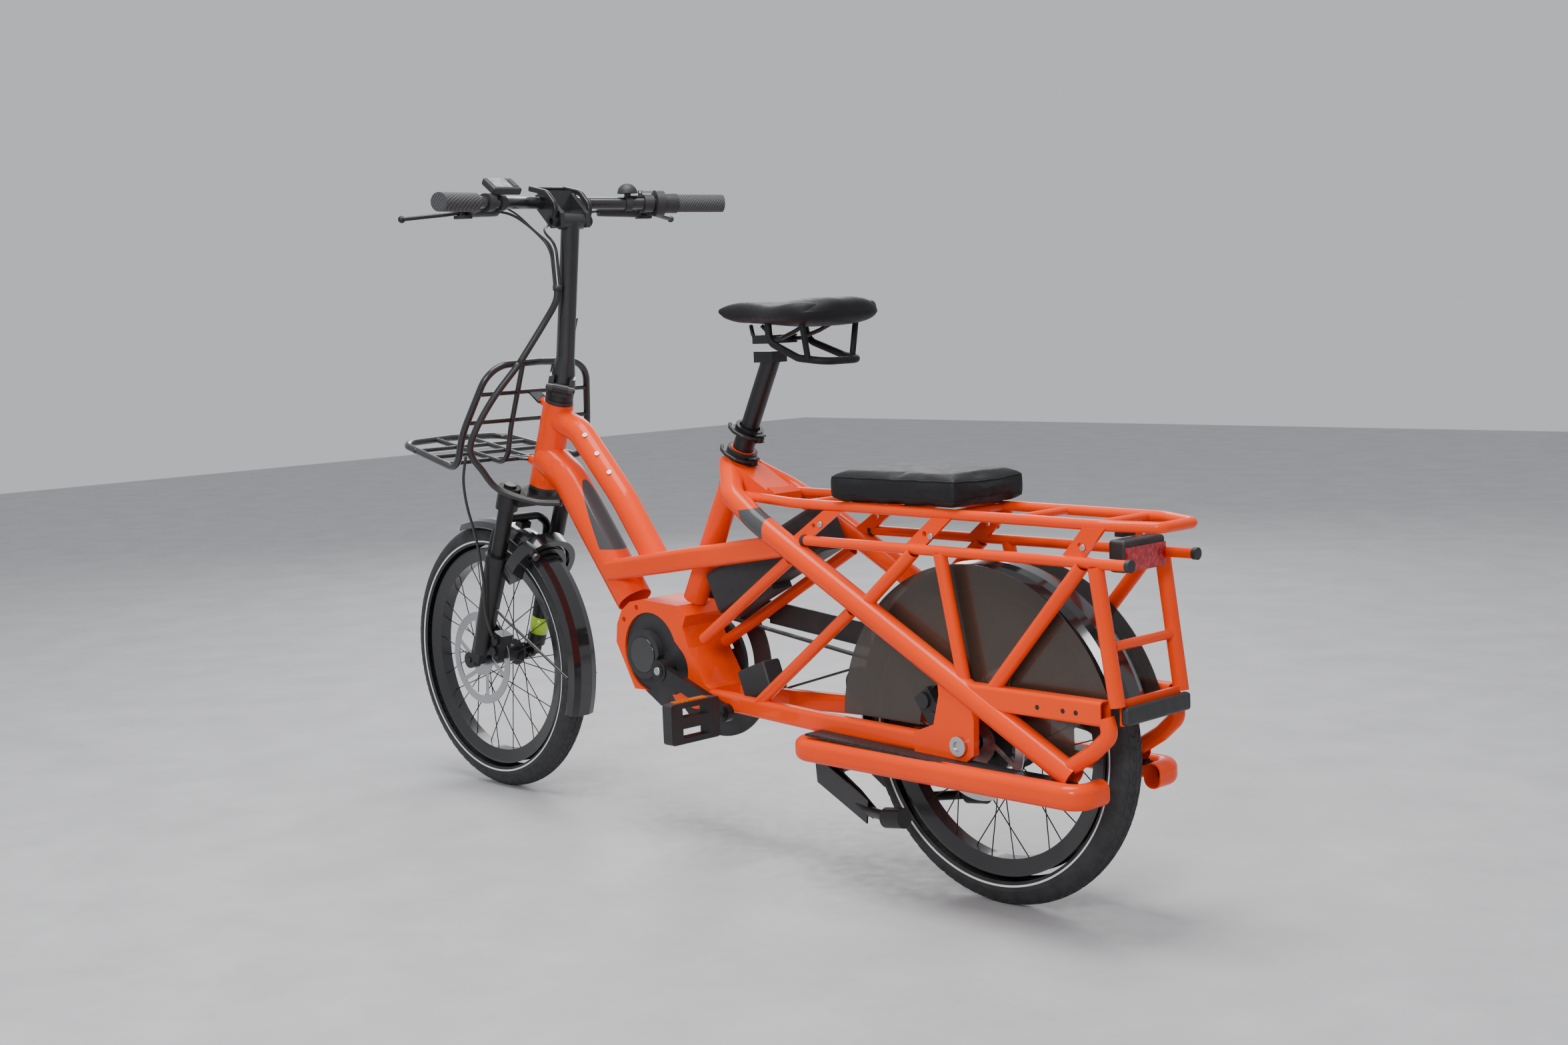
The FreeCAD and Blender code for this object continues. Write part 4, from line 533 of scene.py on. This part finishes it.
# ---------------------------------------------------------------- cushion
PAD_SWELL = 0.006
PAD_SINK = 0.0035
PAD_RISE = 0.0045
PAD_INSET = 0.004
PAD_EDGE = 0.006
PAD_VOXEL = 0.0055
PAD_PRESSURE = 4.0
PAD_FRAMES = 15
PAD_FOOT = 0.0005
SEAM_INSET = 0.004
SEAM_STEP = 0.004
PIPING_RADIUS = 0.0014
CORNER_SEAM_RADIUS = 0.0009
CORNER_SEAM_POINTS = 12


def points_of(obj):
    co = np.zeros(len(obj.data.vertices) * 3, np.float32)
    obj.data.vertices.foreach_get("co", co)
    return co.reshape(-1, 3).astype(float)


def settle(obj):
    """Apply every modifier of an object."""
    graph = bpy.context.evaluated_depsgraph_get()
    graph.update()
    done = bpy.data.meshes.new_from_object(obj.evaluated_get(graph))
    obj.modifiers.clear()
    obj.data = done


def refine(obj, levels):
    """Subdivide an object's surface and shade it smooth."""
    finer = obj.modifiers.new("finer", "SUBSURF")
    finer.levels = levels
    finer.render_levels = levels
    settle(obj)
    shade(obj.data, True)


def pad_box():
    """Room the pad fills: a little taller than its plain solid, down to the rails it rests on."""
    low_corner, high_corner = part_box("cushion")
    return low_corner - Vector((0, 0, PAD_SINK)), high_corner + Vector((0, 0, PAD_RISE))


def swell(pad):
    """Blow the pad up with a short cloth simulation."""
    cloth = pad.modifiers.new("swell", "CLOTH")
    cloth.settings.use_pressure = True
    cloth.settings.uniform_pressure_force = PAD_PRESSURE
    cloth.settings.effector_weights.gravity = 0.0
    cloth.settings.quality = 5
    scene = bpy.context.scene
    for number in range(1, PAD_FRAMES + 1):
        scene.frame_set(number)
    settle(pad)
    scene.frame_set(1)


def cushion_body():
    """Stuffed seat pad: a rounded block swollen by the simulation, flat where it rests."""
    low_corner, high_corner = pad_box()
    size = [side - 2 * PAD_INSET for side in high_corner - low_corner]
    mesh = bpy.data.meshes.new("cushion_pad")
    pad = placed("cushion_pad", mesh)
    shape = bmesh.new()
    bmesh.ops.create_cube(shape, size=1.0)
    bmesh.ops.scale(shape, vec=size, verts=shape.verts)
    bmesh.ops.bevel(shape, geom=shape.edges[:], offset=PAD_EDGE, segments=2, affect="EDGES")
    bmesh.ops.translate(shape, vec=(low_corner + high_corner) / 2, verts=shape.verts)
    shape.to_mesh(mesh)
    shape.free()
    remesh = pad.modifiers.new("voxels", "REMESH")
    remesh.mode = "VOXEL"
    remesh.voxel_size = PAD_VOXEL
    settle(pad)
    start = points_of(pad)
    swell(pad)
    move = points_of(pad) - start
    length = np.linalg.norm(move, axis=1, keepdims=True)
    move *= np.minimum(1.0, PAD_SWELL / np.maximum(length, 1e-9))
    swollen = start + move
    swollen[:, 2] = np.maximum(swollen[:, 2], low_corner.z + PAD_FOOT)
    pad.data.vertices.foreach_set("co", swollen.astype(np.float32).ravel())
    refine(pad, 1)
    pad.data.materials.clear()
    pad.data.materials.append(VINYL)
    return pad


pad = cushion_body()
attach(pad, "frame")
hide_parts("cushion")


def on_pad(point):
    """Nearest point on the pad's surface."""
    place = pad.closest_point_on_mesh(pad.matrix_world.inverted() @ point)[1]
    return pad.matrix_world @ place


def cushion_seams():
    """Piping round the top and bottom edges and down the corners, lying on the pad's own surface."""
    low_corner, high_corner = pad_box()
    x0, x1, y0, y1 = low_corner.x, high_corner.x, low_corner.y, high_corner.y
    outline = ((x1, y1), (x0, y1), (x0, y0), (x1, y0))
    bottom, top = low_corner.z + SEAM_INSET, high_corner.z - SEAM_INSET
    pieces = []
    for label, z in (("top", top), ("bottom", bottom)):
        corners = [Vector((x, y, z)) for x, y in outline]
        loop = []
        for index, corner in enumerate(corners):
            after = corners[(index + 1) % 4]
            count = int((after - corner).length / SEAM_STEP)
            loop += [on_pad(corner.lerp(after, k / count)) for k in range(count)]
        loop.append(loop[0])
        pieces.append(tube("cushion_piping_" + label, loop, PIPING_RADIUS, VINYL, 8, 1))
    for number, (x, y) in enumerate(outline):
        line = [on_pad(Vector((x, y, z))) for z in np.linspace(bottom, top, CORNER_SEAM_POINTS)]
        pieces.append(tube("cushion_corner_seam_%d" % number, line, CORNER_SEAM_RADIUS, VINYL, 8, 1))
    return pieces


for seam in cushion_seams():
    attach(seam, "frame")


# ---------------------------------------------------------------- small fittings
ROUND_SIDES = 40
BOLT_SIDES = 24
SLAB_EDGE = 0.001

# inner and outer y in millimetres, then the radius at each in metres
MOTOR_CAP_SHAPE = (59.9, 61.6, 0.0325, 0.0305)
CRANK_BOLT_SHAPE = (79.5, 82.5, 0.0075, 0.0068)
RACK_BOLT_SHAPE = (75.5, 79.5, 0.0048, 0.0042)
# black discs over the tail holes are painted shade: they stand in for the dark inside of the open holes
TAIL_HOLE_SHADE_SHAPE = (89, 92.3, 0.0042, 0.0036)

# x and z in millimetres
MOTOR_CAP = (762, 316)
CRANK = (700, 296)
RACK_BOLTS = ((290, 572), (57, 566), (-227, 566))
TAIL_HOLE_SHADES = ((-150, 334), (-196, 334), (-219, 334))

FORK_REFLECTOR_ENDS = (at(1218.7, -66, 331), at(1231, -66, 298))
FORK_REFLECTOR_RADII = (0.0192, 0.0184)
HARNESS_CLIP_ENDS = (at(994, 27, 968), at(994, 27, 958))
HARNESS_CLIP_RADIUS = 0.0088
PEDAL_REFLECTORS = (("left_pedal", at(539, 150, 275.6)), ("right_pedal", at(861, -150, 386.2)))
PEDAL_REFLECTOR_SIZE = (0.016, 0.07, 0.003)
SCREEN_MIDDLE = at(986.9, 150.9, 1143.5)
SCREEN_SIZE = (0.036, 0.031, 0.0012)
SCREEN_EDGE = 0.0004
SCREEN_FACES = Vector((-0.55, 0.0, 0.83)).normalized()
SCREEN_LIFT = 0.0073
ACROSS = (0, 1, 0)


def riding(shape, name, material, body):
    """Turn a finished bmesh into an object that rides on a body."""
    data = bpy.data.meshes.new(name)
    shape.to_mesh(data)
    shape.free()
    data.materials.append(material)
    made = placed(name, data)
    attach(made, body)
    return made


def cone_piece(name, start, end, radius_start, radius_end, material, body, sides=ROUND_SIDES):
    """Short round part between two points, wider at one end."""
    way = end - start
    shape = bmesh.new()
    bmesh.ops.create_cone(shape, cap_ends=True, segments=sides, radius1=radius_start, radius2=radius_end,
                          depth=way.length)
    turn = Vector((0, 0, 1)).rotation_difference(way.normalized()).to_matrix().to_4x4()
    bmesh.ops.transform(shape, matrix=Matrix.Translation((start + end) / 2) @ turn, verts=shape.verts)
    data = riding(shape, name, material, body).data
    data.polygons.foreach_set("use_smooth", [len(p.vertices) == 4 for p in data.polygons])


def slab(name, centre, size, material, body, edge=SLAB_EDGE, along=(1, 0, 0), up=(0, 0, 1)):
    """Small block with rounded edges, its length and its height along two directions."""
    along = Vector(along).normalized()
    up = Vector(up).normalized()
    turn = Matrix((along, up.cross(along), up)).transposed().to_4x4()
    shape = bmesh.new()
    bmesh.ops.create_cube(shape, size=1.0)
    bmesh.ops.scale(shape, vec=size, verts=shape.verts)
    bmesh.ops.bevel(shape, geom=shape.edges[:], offset=edge, segments=2, affect="EDGES")
    bmesh.ops.transform(shape, matrix=Matrix.Translation(centre) @ turn, verts=shape.verts)
    riding(shape, name, material, body)


def side_bolt(name, s, place, shape, look, body, sides=BOLT_SIDES):
    """Bolt head, plug or disc that faces out on one side of the bicycle."""
    x, z = place
    inner, outer, radius_inner, radius_outer = shape
    cone_piece(name, at(x, s * inner, z), at(x, s * outer, z), radius_inner, radius_outer, MATERIALS[look],
               body, sides)


side_bolt("motor_cap_disc", 1, MOTOR_CAP, MOTOR_CAP_SHAPE, "gloss_black", "frame", ROUND_SIDES)
cone_piece("fork_reflector", *FORK_REFLECTOR_ENDS, *FORK_REFLECTOR_RADII, LIME, "fork_lowers")
cone_piece("harness_clip", *HARNESS_CLIP_ENDS, HARNESS_CLIP_RADIUS, HARNESS_CLIP_RADIUS,
           MATERIALS["plastic"], "handlepost")
for pedal, middle in PEDAL_REFLECTORS:
    slab(pedal + "_reflector", middle, PEDAL_REFLECTOR_SIZE, AMBER, pedal)
slab("display_screen", SCREEN_MIDDLE + SCREEN_FACES * SCREEN_LIFT, SCREEN_SIZE, SCREEN, "handlebar_unit",
     SCREEN_EDGE, ACROSS, SCREEN_FACES)
for side, s in SIDES:
    side_bolt("crank_bolt_" + side, s, CRANK, CRANK_BOLT_SHAPE, "steel", "crankset")
    for number, place in enumerate(RACK_BOLTS):
        side_bolt("rack_bolt_%s_%d" % (side, number), s, place, RACK_BOLT_SHAPE, "silver", "frame")
    # painted shade: black discs over the tail holes stand in for the dark inside of the open holes
    for number, place in enumerate(TAIL_HOLE_SHADES):
        side_bolt("tail_hole_%s_%d" % (side, number), s, place, TAIL_HOLE_SHADE_SHAPE, "black", "frame")


# ---------------------------------------------------------------- foot decks and stand
DECK_PAD = (0.51, 0.044, 0.004)
DECK_PAD_EDGE = 0.0012
DECK_PAD_MIDDLE = (46, 97, 234.8)
DECK_SLOPE = (0.501, 0.0, 0.014)
CHEEK_OUTLINE = ((338, 194), (334, 150), (226, 98), (222, 136))
CHEEK_OFFSET = 62
CHEEK_THICKNESS = 0.003


def stand_cheek(side, s):
    """Side plate of the stand's pivot box."""
    outer = [at(x, s * CHEEK_OFFSET, z) for x, z in CHEEK_OUTLINE]
    inner = [p - Vector((0, s * CHEEK_THICKNESS, 0)) for p in outer]
    faces = [(0, 1, 2, 3), (7, 6, 5, 4)] + [(i, i + 4, (i + 1) % 4 + 4, (i + 1) % 4) for i in range(4)]
    plate = new_object("stand_cheek_" + side, outer + inner, faces, MATERIALS["satin_black"], False)
    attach(plate, "kickstand")


for side, s in SIDES:
    x, y, z = DECK_PAD_MIDDLE
    slab("foot_pad_" + side, at(x, s * y, z), DECK_PAD, TAPE, "frame", DECK_PAD_EDGE, DECK_SLOPE)
    stand_cheek(side, s)


# ---------------------------------------------------------------- saddle cover
# x, half width, lowest and highest z of each section from nose to tail, in millimetres
SADDLE_STATIONS = ((575, 9, 903, 913), (570, 17, 898, 918), (552, 22, 893, 922), (520, 27, 889, 924),
                   (480, 35, 887, 924), (445, 49, 885, 922), (412, 66, 883, 922), (380, 81, 881, 924),
                   (348, 90, 880, 927), (318, 91, 881, 928), (300, 84, 884, 927), (288, 66, 890, 922),
                   (283, 44, 897, 915))
SADDLE_AROUND = 40
SIDE_POWER = 0.75
TOP_POWER = 0.8
CHANNEL_DEPTH = 5.0
CHANNEL_HALF = 9.0
CHANNEL_RANGE = (300, 540)
CHANNEL_FADE = 0.3
EDGE_DROP = 6.0


def power(value, exponent):
    """Power of the size of a value, with its sign kept."""
    return math.copysign(abs(value) ** exponent, value)


def saddle_section(x, half, low, high):
    """Closed section of the saddle across the bicycle, in millimetres: a soft oval with a channel on top."""
    first, last = CHANNEL_RANGE
    channel = CHANNEL_DEPTH * (1.0 if first < x < last else CHANNEL_FADE)
    section = []
    for k in range(SADDLE_AROUND):
        angle = 2 * math.pi * k / SADDLE_AROUND
        y = half * power(math.cos(angle), SIDE_POWER)
        z = (low + high) / 2 + (high - low) / 2 * power(math.sin(angle), TOP_POWER)
        if math.sin(angle) > 0:
            z -= channel * math.exp(-(y / CHANNEL_HALF) ** 2)
            z -= EDGE_DROP * (abs(y) / half) ** 4
        section.append(at(x, y, z))
    return section


def saddle_cover():
    """Padded saddle top: a lofted shell with a low channel, thicker at the tail than at the nose."""
    around = SADDLE_AROUND
    vertices, faces = [], []
    for station in SADDLE_STATIONS:
        vertices += saddle_section(*station)
    for i in range(len(SADDLE_STATIONS) - 1):
        for k in range(around):
            n = (k + 1) % around
            faces.append((i * around + k, i * around + n, (i + 1) * around + n, (i + 1) * around + k))
    faces.append(tuple(range(around))[::-1])
    faces.append(tuple((len(SADDLE_STATIONS) - 1) * around + k for k in range(around)))
    cover = new_object("saddle_cover", vertices, faces, SADDLE_SKIN)
    refine(cover, 2)
    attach(cover, "seatpost")


saddle_cover()


# ---------------------------------------------------------------- trimmed shells
BEYOND = 1e-6
BACK = Vector((-1, 0, 0))
DOWN = Vector((0, 0, -1))
DOWN_AND_BACK = Vector((-0.55, 0, -0.83)).normalized()
MUDGUARD_CUTS = ((at(-200, 0, 344), DOWN), (at(-150, 0, 300), BACK))
COVER_CUTS = ((at(-232, 0, 330), DOWN_AND_BACK), (at(-190, 0, 318), BACK))


def trimmed_copy(node, name, body, planes):
    """Copy of a CAD shell without what lies on the far side of every plane, standing for that node."""
    made = copy_of(node, name)
    shape = bmesh.new()
    shape.from_mesh(made.data)
    for point, normal in planes:
        bmesh.ops.bisect_plane(shape, geom=shape.verts[:] + shape.edges[:] + shape.faces[:], plane_co=point,
                               plane_no=normal)
    gone = [f for f in shape.faces
            if all((f.calc_center_median() - point).dot(normal) > BEYOND for point, normal in planes)]
    bmesh.ops.delete(shape, geom=gone, context="FACES")
    shape.to_mesh(made.data)
    shape.free()
    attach(made, body)
    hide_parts(node)


trimmed_copy("rear_fender", "rear_mudguard", "frame", MUDGUARD_CUTS)
trimmed_copy("wheel_covers", "wheel_cover_pair", "frame", COVER_CUTS)


# ---------------------------------------------------------------- floor, light and camera
FLOOR_HALF = 9
# name, place, size and power
LAMPS = (("overhead", (0.0, 0.3, 3.4), 2.0, 130.0),
         ("camera_side", (-2.2, 3.6, 2.4), 1.2, 95.0),
         ("far_side", (2.6, -2.6, 2.4), 2.0, 60.0))
LAMP_TARGET = Vector((0.0, 0.0, 0.45))
SKY = (0.93, 0.95, 1.0, 1.0)
SKY_STRENGTH = 0.62
SENSOR_WIDTH = 36.0
FOCAL_LENGTH = 46.999
CAMERA_PLACE = at(-1982.7, 2324.2, 923.6)
CAMERA_FORWARD = Vector((0.7192, -0.6864, -0.1077)).normalized()
CAMERA_ROLL = math.radians(-2.294)


def make_floor():
    material = worn("studio_floor", (0.43, 0.43, 0.44), (0.5, 0.5, 0.51), 0.6, grain=30.0, depth=0.001,
                    strength=0.05)
    h = FLOOR_HALF
    floor = new_object("studio_floor", [(-h, -h, 0), (h, -h, 0), (h, h, 0), (-h, h, 0)], [(0, 1, 2, 3)],
                       material)


def make_lights():
    world = bpy.data.worlds.new("studio")
    world.use_nodes = True
    background = world.node_tree.nodes["Background"].inputs
    background["Color"].default_value = SKY
    background["Strength"].default_value = SKY_STRENGTH
    bpy.context.scene.world = world
    for name, place, size, energy in LAMPS:
        data = bpy.data.lights.new(name, "AREA")
        data.energy = energy
        data.size = size
        lamp = placed(name, data)
        lamp.location = place
        lamp.rotation_mode = "QUATERNION"
        lamp.rotation_quaternion = (LAMP_TARGET - Vector(place)).to_track_quat("-Z", "Y")


def make_camera():
    data = bpy.data.cameras.new("photo_camera")
    data.sensor_width = SENSOR_WIDTH
    data.lens = FOCAL_LENGTH
    data.clip_start = 0.05
    data.clip_end = 60.0
    camera = placed("photo_camera", data)
    right = CAMERA_FORWARD.cross(Vector((0, 0, 1))).normalized()
    up = right.cross(CAMERA_FORWARD)
    across = right * math.cos(CAMERA_ROLL) + up * math.sin(CAMERA_ROLL)
    upright = -right * math.sin(CAMERA_ROLL) + up * math.cos(CAMERA_ROLL)
    turn = Matrix((across, upright, -CAMERA_FORWARD)).transposed().to_4x4()
    camera.matrix_world = Matrix.Translation(CAMERA_PLACE) @ turn
    bpy.context.scene.camera = camera


make_floor()
make_lights()
make_camera()
